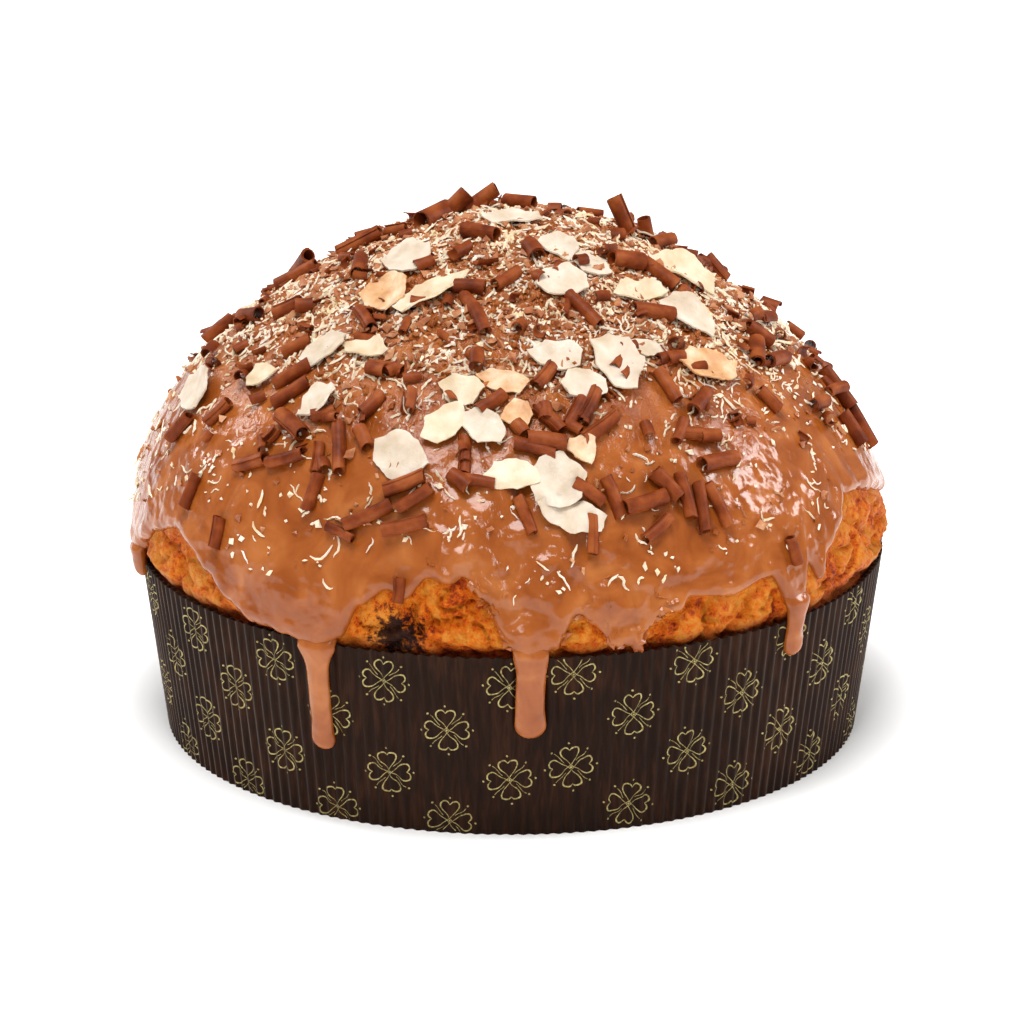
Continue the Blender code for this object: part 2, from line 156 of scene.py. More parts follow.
def ringed(columns, rings, crown, foot):
    """Closed bmesh from a grid rolled into rings. A ring is a function from direction to a point."""
    shape = bmesh.new()
    bmesh.ops.create_grid(shape, x_segments=columns, y_segments=len(rings) + 1, size=0.5)
    for vert in shape.verts:
        direction = round(vert.co.x * columns) % columns * 360.0 / columns
        ring = round((vert.co.y + 0.5) * (len(rings) + 1))
        if ring == 0:
            vert.co = crown
        elif ring > len(rings):
            vert.co = foot
        else:
            vert.co = rings[ring - 1](direction - 360.0 if direction > 180.0 else direction)
    bmesh.ops.remove_doubles(shape, verts=shape.verts, dist=1e-8)
    bmesh.ops.recalc_face_normals(shape, faces=shape.faces)
    return shape


def linear(colour):
    """sRGB hex to the linear colour that a socket takes."""
    parts = [int(colour[i : i + 2], 16) / 255 for i in (0, 2, 4)]
    return [*(p / 12.92 if p <= 0.04045 else ((p + 0.055) / 1.055) ** 2.4 for p in parts), 1.0]


def add(material, kind, links=(), inputs=(), stops=(), **settings):
    """Adds one shader node: its settings, its constant inputs, what feeds it and a ramp's sRGB stops."""
    node = material.node_tree.nodes.new("ShaderNode" + kind)
    for name, value in settings.items():
        setattr(node, name, value)
    for socket, value in dict(inputs).items():
        node.inputs[socket].default_value = value
    for socket, source in dict(links).items():
        material.node_tree.links.new(source, node.inputs[socket])
    while stops and len(node.color_ramp.elements) < len(stops):
        node.color_ramp.elements.new(0.5)
    for index, (position, colour) in enumerate(stops):
        node.color_ramp.elements[index].position = position
        node.color_ramp.elements[index].color = linear(colour)
    return node


def new_material(name, **constants):
    """Material with one Principled shader, that shader with its constants set, and object coordinates."""
    material = bpy.data.materials.new(name)
    material.use_nodes = True
    shader = material.node_tree.nodes["Principled BSDF"]
    for socket, value in constants.items():
        shader.inputs[socket.replace("_", " ")].default_value = value
    return material, shader, add(material, "TexCoord").outputs["Object"]


def feed(material, shader, **sources):
    """Links the patterns of a material to its shader."""
    for socket, source in sources.items():
        material.node_tree.links.new(source, shader.inputs[socket.replace("_", " ")])


# Greaseproof kraft paper dyed brown in the pulp: dull, with fibres and dye running up and down it. It looks
# greyer where it is seen edge on, from a soft sheen.
case_paper, shader, place = new_material(
    "dyed_baking_paper", Roughness=0.55, Specular_IOR_Level=0.08, Sheen_Weight=0.5, Sheen_Roughness=0.3,
    Sheen_Tint=linear("C8B4A4"),
)
# Fibre streaks are about 1.2 mm wide and 20 mm long.
upright = add(case_paper, "Mapping", {"Vector": place}, {"Scale": (800.0, 800.0, 45.0)}).outputs["Vector"]
streaks = add(case_paper, "TexNoise", {"Vector": upright}, {"Scale": 1.0, "Detail": 3.0}).outputs["Fac"]
blotches = add(case_paper, "TexNoise", {"Vector": place}, {"Scale": 60.0, "Detail": 2.0}).outputs["Fac"]
both = add(
    case_paper, "Mix", {"A": streaks, "B": blotches}, {"Factor": 0.35}, data_type="FLOAT"
).outputs["Result"]
brown = add(
    case_paper, "ValToRGB", {"Fac": both}, stops=((0.3, "160903"), (0.5, "220F05"), (0.7, "381E0D"))
).outputs["Color"]
fibres = add(
    case_paper, "Bump", {"Height": streaks}, {"Distance": 0.00015, "Strength": 0.6}
).outputs["Normal"]
feed(case_paper, shader, Base_Color=brown, Normal=fibres)


def wall_ring(share):
    """Ring of the fluted wall, from the rim at 0 to the foot at 1."""
    return lambda direction: wall_place(direction, mix(rim_height(direction), 0.0, share))


def liner_ring(height):
    """Ring of the smooth liner behind the flutes."""
    inner = wall_radius(height) - FLUTE_DEPTH - PAPER
    return lambda direction: polar(direction, inner, min(height, rim_height(direction)))


rings = [liner_ring(height) for height in LINER_HEIGHTS]
rings += [wall_ring(row / WALL_ROWS) for row in range(WALL_ROWS + 1)]
shape = ringed(FLUTES * COLUMNS_PER_FLUTE, rings, Vector((0, 0, PAPER)), Vector((0, 0, 0)))
case = finished("fluted_paper_case", shape, case_paper)
case.data.set_sharp_from_angle(angle=math.radians(CASE_CREASE))
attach(case, "root")
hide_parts("paper_case")


# Print on the case: small gold outlines of four-petalled flowers, with dots and fine lines between the
# petals. It is one layer of ink, drawn here as thin strips that follow the flutes. The sizes of one flower
# are in millimetres, and PETAL is half of a petal's outline: (out from the middle, across).
INK_PROUD = 0.00006
FOOT_MARGIN = 0.0004
RIM_MARGIN = 0.0002
COLUMN_COUNT = 39
SEAM_DIRECTION = 4.3
ROW_PITCH = 0.0286
FIRST_ROW = 0.0054
ROW_SLANT = 0.0040
ROW_STAGGER = 0.0136
MOTIF_TURN = 10.0
MOTIF_WANDER = 0.0006
PETAL = (
    (0.7, 0.0), (1.8, 0.75), (3.1, 1.9), (4.5, 2.65), (5.6, 2.5), (6.15, 1.65), (6.0, 0.75), (5.2, 0.0),
)
PETAL_STEPS = 18
THIN_LINE = 0.09
THICK_LINE = 0.21
THICKENS_FROM = 2.0
THICKENS_OVER = 3.5
LEADER = (2.4, 6.4)
LEADER_STEPS = 6
LEADER_SWAY = 0.25
HEART_RADIUS = 0.62
HEART_SIDES = 8
DOT_REACH = 7.2
DOT_RADIUS = 0.32
DOT_SIDES = 7

gold_ink, shader, place = new_material(
    "bronze_powder_ink", Roughness=0.42, Metallic=0.35, Specular_IOR_Level=0.5
)
# The ink is thinner in patches of about 0.7 mm, where the brown shows through.
wear = add(gold_ink, "TexNoise", {"Vector": place}, {"Scale": 1400.0, "Detail": 1.0}).outputs["Fac"]
gold = add(
    gold_ink, "ValToRGB", {"Fac": wear}, stops=((0.3, "6E5E30"), (0.5, "9C8C52"), (0.7, "B8AA70"))
).outputs["Color"]
feed(gold_ink, shader, Base_Color=gold)


def through(points, steps):
    """Points of a smooth curve through the given ones."""
    padded = [points[0], *points, points[-1]]
    for step in range(steps + 1):
        along = step / steps * (len(points) - 1)
        index = min(int(along), len(points) - 2)
        t = along - index
        a, b, c, d = padded[index : index + 4]
        yield tuple(
            0.5 * (
                2 * q + (r - p) * t + (2 * p - 5 * q + 4 * r - s) * t * t + (3 * q - p - 3 * r + s) * t**3
            )
            for p, q, r, s in zip(a, b, c, d)
        )


def motif_strokes():
    """Outlines of one flower in millimetres: lists of (point, half width)."""
    strokes = []
    for quarter in range(4):
        for side in (-1, 1):
            stroke = []
            for out, across in through(PETAL, PETAL_STEPS):
                thickening = smooth((out - THICKENS_FROM) / THICKENS_OVER) * smooth(across)
                stroke.append((Vector((out, side * across)), mix(THIN_LINE, THICK_LINE, thickening)))
            strokes.append([(Matrix.Rotation(quarter * math.pi / 2, 2) @ p, w) for p, w in stroke])
        turn = Matrix.Rotation(math.radians(45 + quarter * 90), 2)
        line = [mix(*LEADER, step / LEADER_STEPS) for step in range(LEADER_STEPS + 1)]
        curved = [Vector((reach, LEADER_SWAY * math.sin(reach * 0.9))) for reach in line]
        strokes.append([(turn @ point, THIN_LINE * 0.8) for point in curved])
    heart = []
    for step in range(HEART_SIDES + 1):
        turn = Matrix.Rotation(math.radians(step * 360 / HEART_SIDES), 2)
        heart.append((turn @ Vector((HEART_RADIUS, 0)), THIN_LINE))
    strokes.append(heart)
    return strokes


def motif_dots():
    """Dots round one flower, in millimetres."""
    for eighth in range(8):
        reach = DOT_REACH if eighth % 2 else DOT_REACH + 0.2
        yield Matrix.Rotation(math.radians(eighth * 45), 2) @ Vector((reach, 0))
    yield Vector((0, 0))


def on_wall(direction, down, point):
    """Point of a flat drawing laid on the wall, or None where it would pass the rim or the foot."""
    height = CASE_HEIGHT - down + point.y * MM
    around = direction + math.degrees(point.x * MM / wall_radius(height))
    if not FOOT_MARGIN < height < rim_height(around) - RIM_MARGIN:
        return None
    return wall_place(around, height, INK_PROUD)


def print_strip(shape, direction, down, turn, stroke):
    """Strip of ink along one stroke."""
    turned = [(turn @ point, width) for point, width in stroke]
    before = None
    for index, (point, width) in enumerate(turned):
        ahead = turned[min(index + 1, len(turned) - 1)][0] - turned[max(index - 1, 0)][0]
        across = Vector((-ahead.y, ahead.x)).normalized() * width
        sides = [on_wall(direction, down, point + across), on_wall(direction, down, point - across)]
        pair = None if None in sides else [shape.verts.new(side) for side in sides]
        if pair and before:
            shape.faces.new((before[0], before[1], pair[1], pair[0]))
        before = pair


def print_dot(shape, direction, down, centre):
    """Round dot of ink."""
    places = []
    for step in range(DOT_SIDES):
        offset = Matrix.Rotation(math.radians(step * 360 / DOT_SIDES), 2) @ Vector((DOT_RADIUS, 0))
        places.append(on_wall(direction, down, centre + offset))
    if None not in places:
        shape.faces.new([shape.verts.new(place) for place in places])


draw = random.Random(5)
shape = bmesh.new()
for column in range(COLUMN_COUNT):
    direction = SEAM_DIRECTION + (column + 0.5) * 360.0 / COLUMN_COUNT
    first = FIRST_ROW + ROW_SLANT * column / COLUMN_COUNT + ROW_STAGGER * (column % 2)
    for down in (first, first + ROW_PITCH):
        turn = Matrix.Rotation(math.radians(draw.uniform(-MOTIF_TURN, MOTIF_TURN)), 2)
        lift = down + draw.uniform(-MOTIF_WANDER, MOTIF_WANDER)
        for stroke in motif_strokes():
            print_strip(shape, direction, lift, turn, stroke)
        for dot in motif_dots():
            print_dot(shape, direction, lift, turn @ dot)
for vert in [vert for vert in shape.verts if not vert.link_faces]:
    shape.verts.remove(vert)
for face in shape.faces:
    face.normal_update()
    if face.normal.dot(face.calc_center_median()) < 0:
        face.normal_flip()
flowers = finished("gold_flower_print", shape, gold_ink)
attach(flowers, "root")


# Baked cake: a rich yeast dough that rose out of the case and browned in the oven. Its crust is torn and
# spongy where the glaze leaves it bare, draws in under the paper's rim, and is scorched in one place. The
# dome is a ball whose shoulder swells, and depths are measured down from the glaze's skin on it.
DOME_CENTRE = 0.060
CROWN_RADIUS = 0.095
SHOULDER_SWELL = 0.020
SWELL_FROM = 30.0
SWELL_TO = 92.0
LEFT_FULLER = 0.0016
FULLEST_AT = 62.0
FULLEST_SPREAD = 18.0
CRUST_DEPTH = 0.0030
BARE_DEPTH = 0.0023
BARE_DEEPER_LEFT = 0.0005
DEGREES_BARE = 4.0
CREASE_DEPTH = 0.0034
CREASE_SPAN = 0.017
PIT_DEPTH = 0.0022
PIT_SPAN = 0.0080
COARSE_CRUMBS = (0.0008, 0.0026)
FINE_CRUMBS = (0.0006, 0.0014)
TUCK_ROUGHNESS = 0.6
TUCK_FULLER = 0.001
CASE_CLEARANCE = 0.0004
FOOT_ROUNDING = 0.004
FOOT_HEIGHT = 0.0011
CAKE_COLUMNS = 780
COVERED_RINGS = (12, 24, 36, 48, 58, 66)
BARE_FROM = 72
BARE_STEP = 0.40
BARE_RINGS = 45

# Heights and radii of the crust below its bulge: over the paper's rim, and in behind it.
BELOW_BULGE = (
    (0.0598, 0.1122), (0.0588, 0.1117), (0.0578, 0.1111), (0.0569, 0.1106), (0.0562, 0.1101),
    (0.0553, 0.1095), (0.0535, 0.1088), (0.0505, 0.1085), (0.0470, 0.1090),
)

# Lower edge of the glaze: (direction, angle from the crown). Past 90 it hangs over the case's rim.
GLAZE_EDGE = (
    (-180, 78), (-172, 80), (-164, 85), (-157, 90), (-150, 92), (-143, 88), (-137, 82), (-128, 79),
    (-120, 82), (-114, 88), (-109, 91), (-103, 87), (-97, 86), (-90, 89.5), (-84, 90.5), (-77, 91),
    (-73, 88), (-68, 85), (-60, 82.5), (-55, 84), (-50, 86.5), (-45, 89.5), (-40, 91.6), (-34, 92.3),
    (-29, 93.4), (-25, 91), (-22, 86), (-18, 83.3), (-15.5, 84.6), (-12, 81.2), (-9, 82), (-7, 81),
    (-4, 84.5), (-0.5, 91), (2.5, 92), (6, 91), (9.5, 87), (12, 87.5), (15, 92), (18, 91.5),
    (21, 88.3), (24.5, 87.5), (26.5, 85.3), (33, 86.3), (41, 85), (44.3, 89.8), (47.3, 89.8), (49.3, 85),
    (51.7, 88), (54, 84.5), (59, 81.5), (63, 78), (68, 78.5), (75, 80.5), (82, 82.5), (90, 85),
    (99, 84), (106, 87), (112, 91), (118, 90), (124, 85), (131, 80), (139, 78), (146, 82),
    (152, 88), (158, 92), (164, 91), (170, 86), (176, 80),
)


def skin_radius(direction, down):
    """Distance from the dome's centre to the glaze's skin."""
    swell = SHOULDER_SWELL * smooth((down - SWELL_FROM) / (SWELL_TO - SWELL_FROM))
    lean = math.exp(-(((down - FULLEST_AT) / FULLEST_SPREAD) ** 2))
    return CROWN_RADIUS + swell - LEFT_FULLER * lean * math.sin(math.radians(direction))


def on_dome(direction, down, depth=0.0):
    """Point on the dome, this far below the glaze's skin."""
    reach = skin_radius(direction, down) - depth
    angle = math.radians(down)
    return polar(direction, reach * math.sin(angle), DOME_CENTRE + reach * math.cos(angle))


@functools.cache
def edge_angle(direction):
    """How far down the glaze reaches in a direction."""
    wrapped = (direction + 180.0) % 360.0 - 180.0
    points = GLAZE_EDGE + ((GLAZE_EDGE[0][0] + 360, GLAZE_EDGE[0][1]),)
    for (start, first), (end, second) in zip(points, points[1:]):
        if wrapped <= end:
            return mix(first, second, smooth((wrapped - start) / (end - start)))
    return points[-1][1]


def ridged(place, size):
    """Noise with sharp valleys, 0 in a valley and 1 on a lump."""
    return min(1.0, 2.2 * abs(noise.noise(place / size)))


def torn_depth(place):
    """Depth of the torn crumb: creases between lumps, pits in the lumps and loose crumbs."""
    bent = place + noise.noise_vector(place / 0.012) * 0.003
    creases = CREASE_DEPTH * (1.0 - ridged(bent, CREASE_SPAN)) ** 3
    pits = PIT_DEPTH * (1.0 - ridged(bent + Vector((0.3, 0, 0)), PIT_SPAN)) ** 3
    coarse = COARSE_CRUMBS[0] * noise.noise(bent / COARSE_CRUMBS[1])
    fine = FINE_CRUMBS[0] * noise.noise(place / FINE_CRUMBS[1])
    return creases + pits + (coarse + fine)


def crust_depth(direction, down):
    """Depth of the crust below the glaze's skin, torn where it is bare."""
    bare = smooth((down - edge_angle(direction) + 1.0) / DEGREES_BARE)
    if bare == 0.0:
        return CRUST_DEPTH
    plain = BARE_DEPTH - BARE_DEEPER_LEFT * math.sin(math.radians(direction))
    return mix(CRUST_DEPTH, plain + torn_depth(on_dome(direction, down)), bare)


def crust_ring(down):
    """Ring of the crust at one angle from the crown."""
    return lambda direction: on_dome(direction, down, crust_depth(direction, down))


def tuck_ring(height, radius):
    """Ring of the crust where it turns in under its bulge and goes down behind the paper."""

    def place(direction):
        rough = torn_depth(polar(direction, radius, height)) - TUCK_FULLER
        return polar(direction, radius - TUCK_ROUGHNESS * rough, height)

    return place


def foot_ring(inset, height):
    """Ring of the part inside the case."""
    inner = wall_radius(height) - FLUTE_DEPTH - PAPER - CASE_CLEARANCE
    return lambda direction: polar(direction, inner - inset, height)


# Baked crust: butter and egg browned to orange, and burnt black in one place. Painted shade darkens it to
# red-brown in the folds and by the paper. It is dull, crumbly and a little waxy from butter. Crumb cells are
# about 2 mm wide.
crust, shader, place = new_material(
    "browned_butter_crust", Roughness=0.5, Specular_IOR_Level=0.2, Subsurface_Weight=0.1,
    Subsurface_Scale=0.001, Subsurface_Radius=(1.0, 0.45, 0.2),
)
patches = add(crust, "TexNoise", {"Vector": place}, {"Scale": 70.0, "Detail": 4.0}).outputs["Fac"]
cells = add(
    crust, "TexNoise", {"Vector": place},
    {"Scale": 520.0, "Detail": 6.0, "Roughness": 0.7, "Distortion": 0.3},
).outputs["Fac"]
crisp = add(
    crust, "MapRange", {"Value": cells},
    {"From Min": 0.35, "From Max": 0.65, "To Min": 0.14, "To Max": 0.86},
).outputs["Result"]
blend = add(crust, "Mix", {"A": patches, "B": crisp}, {"Factor": 0.5}, data_type="FLOAT").outputs["Result"]
# Painted shade: the deeper a place lies in the torn crumb, the darker it is painted, for the shade in its
# creases and pits.
crease_shade = add(crust, "Attribute", attribute_name="torn_depth").outputs["Fac"]
shaded = add(crust, "Math", {0: crease_shade, 2: blend}, {1: -46.0}, operation="MULTIPLY_ADD").outputs["Value"]
browned_and_shaded = add(
    crust, "ValToRGB", {"Fac": shaded},
    stops=((0.14, "7A2402"), (0.26, "C44802"), (0.35, "F06A06"), (0.45, "FC8412"), (0.60, "FFA238")),
).outputs["Color"]
# Painted shade: behind the paper's rim, from 59.5 mm down, the crust is painted darker, for the shade under its
# bulge.
height = add(crust, "SeparateXYZ", {"Vector": place}).outputs["Z"]
rim_shade = add(
    crust, "MapRange", {"Value": height},
    {"From Min": 0.0595, "From Max": 0.0560, "To Min": 0.0, "To Max": 0.7},
).outputs["Result"]
rim_shaded = add(
    crust, "Mix", {"Factor": rim_shade, "A": browned_and_shaded}, {"B": linear("7E3212")}, data_type="RGBA",
    blend_type="MULTIPLY",
).outputs["Result"]
# The scorched fold, 17 degrees left of the front, is about 14 mm across.
scorch = polar(-17.0, 0.1125, 0.0590)
away = add(crust, "VectorMath", {0: place}, {1: scorch}, operation="DISTANCE").outputs["Value"]
ragged = add(crust, "Math", {0: blend}, {1: 0.030, 2: -0.014}, operation="MULTIPLY_ADD").outputs["Value"]
near = add(crust, "Math", {0: away, 1: ragged}, operation="ADD").outputs["Value"]
burnt = add(
    crust, "MapRange", {"Value": near},
    {"From Min": 0.0095, "From Max": 0.0045, "To Min": 0.0, "To Max": 0.95},
).outputs["Result"]
charred_and_shaded = add(
    crust, "Mix", {"Factor": burnt, "A": rim_shaded}, {"B": linear("0C0604")}, data_type="RGBA"
).outputs["Result"]
crumb = add(crust, "Bump", {"Height": cells}, {"Distance": 0.0042, "Strength": 1.0}).outputs["Normal"]
feed(crust, shader, Base_Color=charred_and_shaded, Normal=crumb)

rings = [crust_ring(down) for down in COVERED_RINGS]
rings += [crust_ring(BARE_FROM + BARE_STEP * step) for step in range(BARE_RINGS)]
rings += [tuck_ring(*row) for row in BELOW_BULGE]
rings += [foot_ring(0.0, FOOT_ROUNDING), foot_ring(FOOT_ROUNDING, FOOT_HEIGHT)]
shape = ringed(CAKE_COLUMNS, rings, on_dome(0, 0, CRUST_DEPTH), Vector((0, 0, FOOT_HEIGHT)))
depths = shape.verts.layers.float.new("torn_depth")
for vert in shape.verts:
    vert[depths] = torn_depth(vert.co)
cake = finished("torn_crust", shape, crust)
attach(cake, "root")
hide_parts("baked_cake")


# Milk chocolate glaze: tempered chocolate poured over the crown and left to run. It lies 2 to 3 mm thick,
# in soft waves over the cake, and ends in a fat rounded lip, torn just right of the middle.
COAT_COLUMNS = 900
COAT_ROWS = 90
ROW_CROWDING = 1.9
UNDER_ROWS = 12
LIP_WIDTH = 0.0026
BEAD_HEIGHT = 0.0005
BEAD_INSIDE = 0.0035
BEAD_WIDTH = 0.0022
HANG_PER_DEGREE = 0.002
GLAZE_THICKNESS = 0.0024
SKIN_SINK = 0.85
UNDER_SHARE = 0.1
UNDER_LOWEST = 88.0
CROWN_SKIN = 0.0004
CROWN_UNDER = 0.0022


def torn(direction):
    """How ragged the glaze's edge is, in degrees: mostly smooth, torn to the right of the middle."""
    right = smooth(1.3 - abs(direction - 16.5) / 7.0)
    return 0.35 + 2.0 * right + 0.7 * smooth(1.0 - abs(direction - 1) / 8.0)


@functools.cache
def glaze_edge(direction):
    """The lower edge with its small lobes and tears."""
    place = polar(direction, 0.115, 0)
    lobes = noise.noise(place / 0.009) + 0.6 * noise.noise(place / 0.0032)
    lobes += 0.4 * noise.noise(place / 0.0015)
    return edge_angle(direction) + torn(direction) * lobes


def streaked(direction, down, width, length, seed=0.0):
    """Noise in streaks that run downhill, this wide at the shoulder and this long."""
    return noise.noise(polar(direction, 0.11 / width, down * 0.0019 / length + seed))


def relief(direction, down):
    """Height of the glaze's skin over the dome's, in metres. The sums inside are in millimetres."""
    place = on_dome(direction, down)
    broad = noise.noise(place / 0.019)
    runs = 0.5 * smooth((down - 32) / 30) * streaked(direction, down, 0.0085, 0.045)
    front = smooth(1.3 - abs(direction - 6) / 20) * smooth((down - 58) / 14)
    folds = (0.5 + 1.2 * front) * streaked(direction, down, 0.0065, 0.0050, 70.0)
    ripples = (0.08 + 0.3 * front) * noise.noise(place / 0.0036)
    crumbly = smooth((60 - down) / 20)
    ribs = crumbly * 0.9 * streaked(direction, down, 0.0050, 0.016, 140.0)
    grit = crumbly * (0.6 * noise.noise(place / 0.0026) + 0.35 * noise.noise(place / 0.0013))
    return (broad + runs + folds + ripples + ribs + grit - SKIN_SINK) * MM


def coat_place(direction, reach, share=1.0):
    """Point of the glaze: on its skin at share 1, on what carries it at share 0."""
    if reach <= 90.0 and share == 1.0:
        return on_dome(direction, reach, -relief(direction, reach))
    if reach <= 90.0:
        depth = mix(crust_depth(direction, reach) + 0.0003, -relief(direction, reach), share)
        return on_dome(direction, reach, depth)
    height = DOME_CENTRE - (reach - 90.0) * HANG_PER_DEGREE
    carried = wall_radius(min(height, CASE_HEIGHT)) + 0.0001
    hung = carried + GLAZE_THICKNESS + relief(direction, 90.0)
    domed = skin_radius(direction, 90.0) + relief(direction, 90.0)
    skin = mix(domed, hung, smooth((reach - 90.0) / 3.0))
    return polar(direction, mix(carried, skin, share), height)


def coat_ring(row):
    """Ring of the glaze's skin: row 1 is by the crown, the last one is the tip of the lip."""

    def place(direction):
        edge = glaze_edge(direction)
        reach = edge * (1.0 - (1.0 - row / COAT_ROWS) ** ROW_CROWDING)
        slope = (glaze_edge(direction + 0.4) - glaze_edge(direction - 0.4)) / 0.8
        inside = (edge - reach) * HANG_PER_DEGREE / math.sqrt(1.0 + slope * slope)
        shut = 1.0 - min(1.0, inside / LIP_WIDTH)
        bead = BEAD_HEIGHT * math.exp(-(((inside - BEAD_INSIDE) / BEAD_WIDTH) ** 2))
        lifted = coat_place(direction, reach, math.sqrt(1.0 - shut * shut))
        out = Vector((lifted.x, lifted.y, 0)).normalized()
        return lifted + out * bead

    return place


def under_ring(row):
    """Ring of the glaze's underside, back up from the lip to the crown."""

    def place(direction):
        reach = glaze_edge(direction) * (1.0 - row / (UNDER_ROWS + 1))
        return coat_place(direction, min(reach, UNDER_LOWEST), UNDER_SHARE)

    return place


# Milk chocolate, poured and set: opaque light brown from cocoa and milk, glossy from its cocoa butter,
# with faint paler swirls about 20 mm wide where it was stirred, and waves of 5 mm.
glaze, shader, place = new_material("poured_milk_chocolate", IOR=1.45, Specular_IOR_Level=0.45)
swirl = add(
    glaze, "TexNoise", {"Vector": place}, {"Scale": 55.0, "Detail": 3.0, "Distortion": 1.6}
).outputs["Fac"]
milky = add(
    glaze, "ValToRGB", {"Fac": swirl}, stops=((0.3, "8B4414"), (0.5, "9D5320"), (0.7, "AF6630"))
).outputs["Color"]
waves = add(glaze, "TexNoise", {"Vector": place}, {"Scale": 210.0, "Detail": 1.0}).outputs["Fac"]
gloss = add(
    glaze, "MapRange", {"Value": swirl}, {"From Min": 0.3, "From Max": 0.7, "To Min": 0.09, "To Max": 0.19}
).outputs["Result"]
# On the crown, from 100 mm up, it set crumbly round the shavings, in grains of about 2 mm.
grains = add(
    glaze, "TexNoise", {"Vector": place}, {"Scale": 480.0, "Detail": 4.0, "Roughness": 0.6}
).outputs["Fac"]
upward = add(glaze, "SeparateXYZ", {"Vector": place}).outputs["Z"]
crumbly_share = add(
    glaze, "MapRange", {"Value": upward},
    {"From Min": 0.100, "From Max": 0.135, "To Min": 0.12, "To Max": 1.6},
).outputs["Result"]
uneven = add(
    glaze, "Math", {0: grains, 1: crumbly_share, 2: waves}, operation="MULTIPLY_ADD"
).outputs["Value"]
dimples = add(glaze, "Bump", {"Height": uneven}, {"Distance": 0.0014, "Strength": 0.62}).outputs["Normal"]
feed(glaze, shader, Base_Color=milky, Roughness=gloss, Normal=dimples)

rings = [coat_ring(row) for row in range(1, COAT_ROWS + 1)]
rings += [under_ring(row) for row in range(1, UNDER_ROWS + 1)]
shape = ringed(COAT_COLUMNS, rings, on_dome(0, 0, CROWN_SKIN), on_dome(0, 0, CROWN_UNDER))
coat = finished("milk_chocolate_coat", shape, glaze)
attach(coat, "root")
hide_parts("milk_chocolate_glaze")


# Drips: runs of the same chocolate that left the glaze's lip and set on their way down the paper, each with
# a flare at its root, a waist and a round heavy tip.
# (direction, height of the tip, width in metres, how much the root flares)
DRIPS = (
    (-78, 0.0500, 0.0080, 0.3), (-29.1, 0.0222, 0.0078, 0.55), (2.7, 0.0310, 0.0096, 0.05),
    (45.8, 0.0441, 0.0072, 0.35), (112, 0.0300, 0.0080, 0.6), (159, 0.0180, 0.0085, 0.8),
    (-151, 0.0340, 0.0075, 0.6), (-109, 0.0430, 0.0070, 0.4),
)
DRIP_SIDES = 32
DRIP_RINGS = 40
DRIP_FLATNESS = 0.62
DRIP_PROUD = 0.33
DRIP_NECK = 0.0026
DRIP_ROOT = 0.0075
DRIP_SINK = 0.0026
DRIP_SINK_OVER = 0.0055
DRIP_TIP_FROM = 0.72
DRIP_TOP_ROUND = 0.08
DRIP_WAIST = 0.14
WAIST_FROM_ROOT = 0.006
WAIST_FROM_TIP = 0.009
DRIP_SWAY = 0.0004


def carried_radius(direction, height):
    """Radius of what a drip runs down: the crust's bulge, then the paper."""
    rise = max(0.0, height - DOME_CENTRE)
    down = 90.0 - math.degrees(math.asin(rise / skin_radius(direction, 85.0)))
    bulge = on_dome(direction, down).xy.length - GLAZE_THICKNESS
    return mix(wall_radius(min(height, CASE_HEIGHT)), bulge, smooth((height - CASE_HEIGHT) / 0.004))


def add_drip(shape, direction, tip_height, width, flaring):
    """Round-ended run down the wall that flares where it leaves the glaze's lip and swells at its tip."""
    made = bmesh.ops.create_uvsphere(shape, u_segments=DRIP_SIDES, v_segments=DRIP_RINGS, radius=1.0)
    edge = edge_angle(direction)
    lip = on_dome(direction, edge).z if edge < 90.0 else DOME_CENTRE - (edge - 90.0) * HANG_PER_DEGREE
    top = lip + DRIP_ROOT
    length = top - tip_height
    for vert in made["verts"]:
        share = math.acos(max(-1.0, min(1.0, vert.co.z))) / math.pi
        around = math.atan2(vert.co.y, vert.co.x)
        if share < DRIP_TIP_FROM:
            fall = share / DRIP_TIP_FROM * (length - width / 2)
            girth = math.sin(min(1.0, share / DRIP_TOP_ROUND) * math.pi / 2)
        else:
            swing = (share - DRIP_TIP_FROM) / (1.0 - DRIP_TIP_FROM) * math.pi / 2
            fall = length - width / 2 + math.sin(swing) * width / 2
            girth = math.cos(swing)
        flare = 1.0 + flaring * math.exp(-max(0.0, fall - DRIP_ROOT) / DRIP_NECK)
        waisted = smooth((fall - DRIP_ROOT) / WAIST_FROM_ROOT) * smooth((length - fall) / WAIST_FROM_TIP)
        sway = DRIP_SWAY * noise.noise(Vector((direction, fall / 0.012, 0)))
        radius = width / 2 * girth * (1.0 - DRIP_WAIST * waisted)
        side = radius * flare * math.cos(around) + sway
        out = radius * DRIP_FLATNESS * math.sin(around)
        height = top - fall
        middle = carried_radius(direction, height) + DRIP_PROUD * DRIP_FLATNESS * width / 2
        middle -= DRIP_SINK * smooth((height - lip) / DRIP_SINK_OVER)
        vert.co = polar(direction, middle - out, height) + polar(direction + 90.0, side, 0.0)
    faces = list({face for vert in made["verts"] for face in vert.link_faces})
    bmesh.ops.recalc_face_normals(shape, faces=faces)


shape = bmesh.new()
for row in DRIPS:
    add_drip(shape, *row)
drips = finished("milk_chocolate_drips", shape, glaze)
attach(drips, "root")
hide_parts("milk_chocolate_glaze")


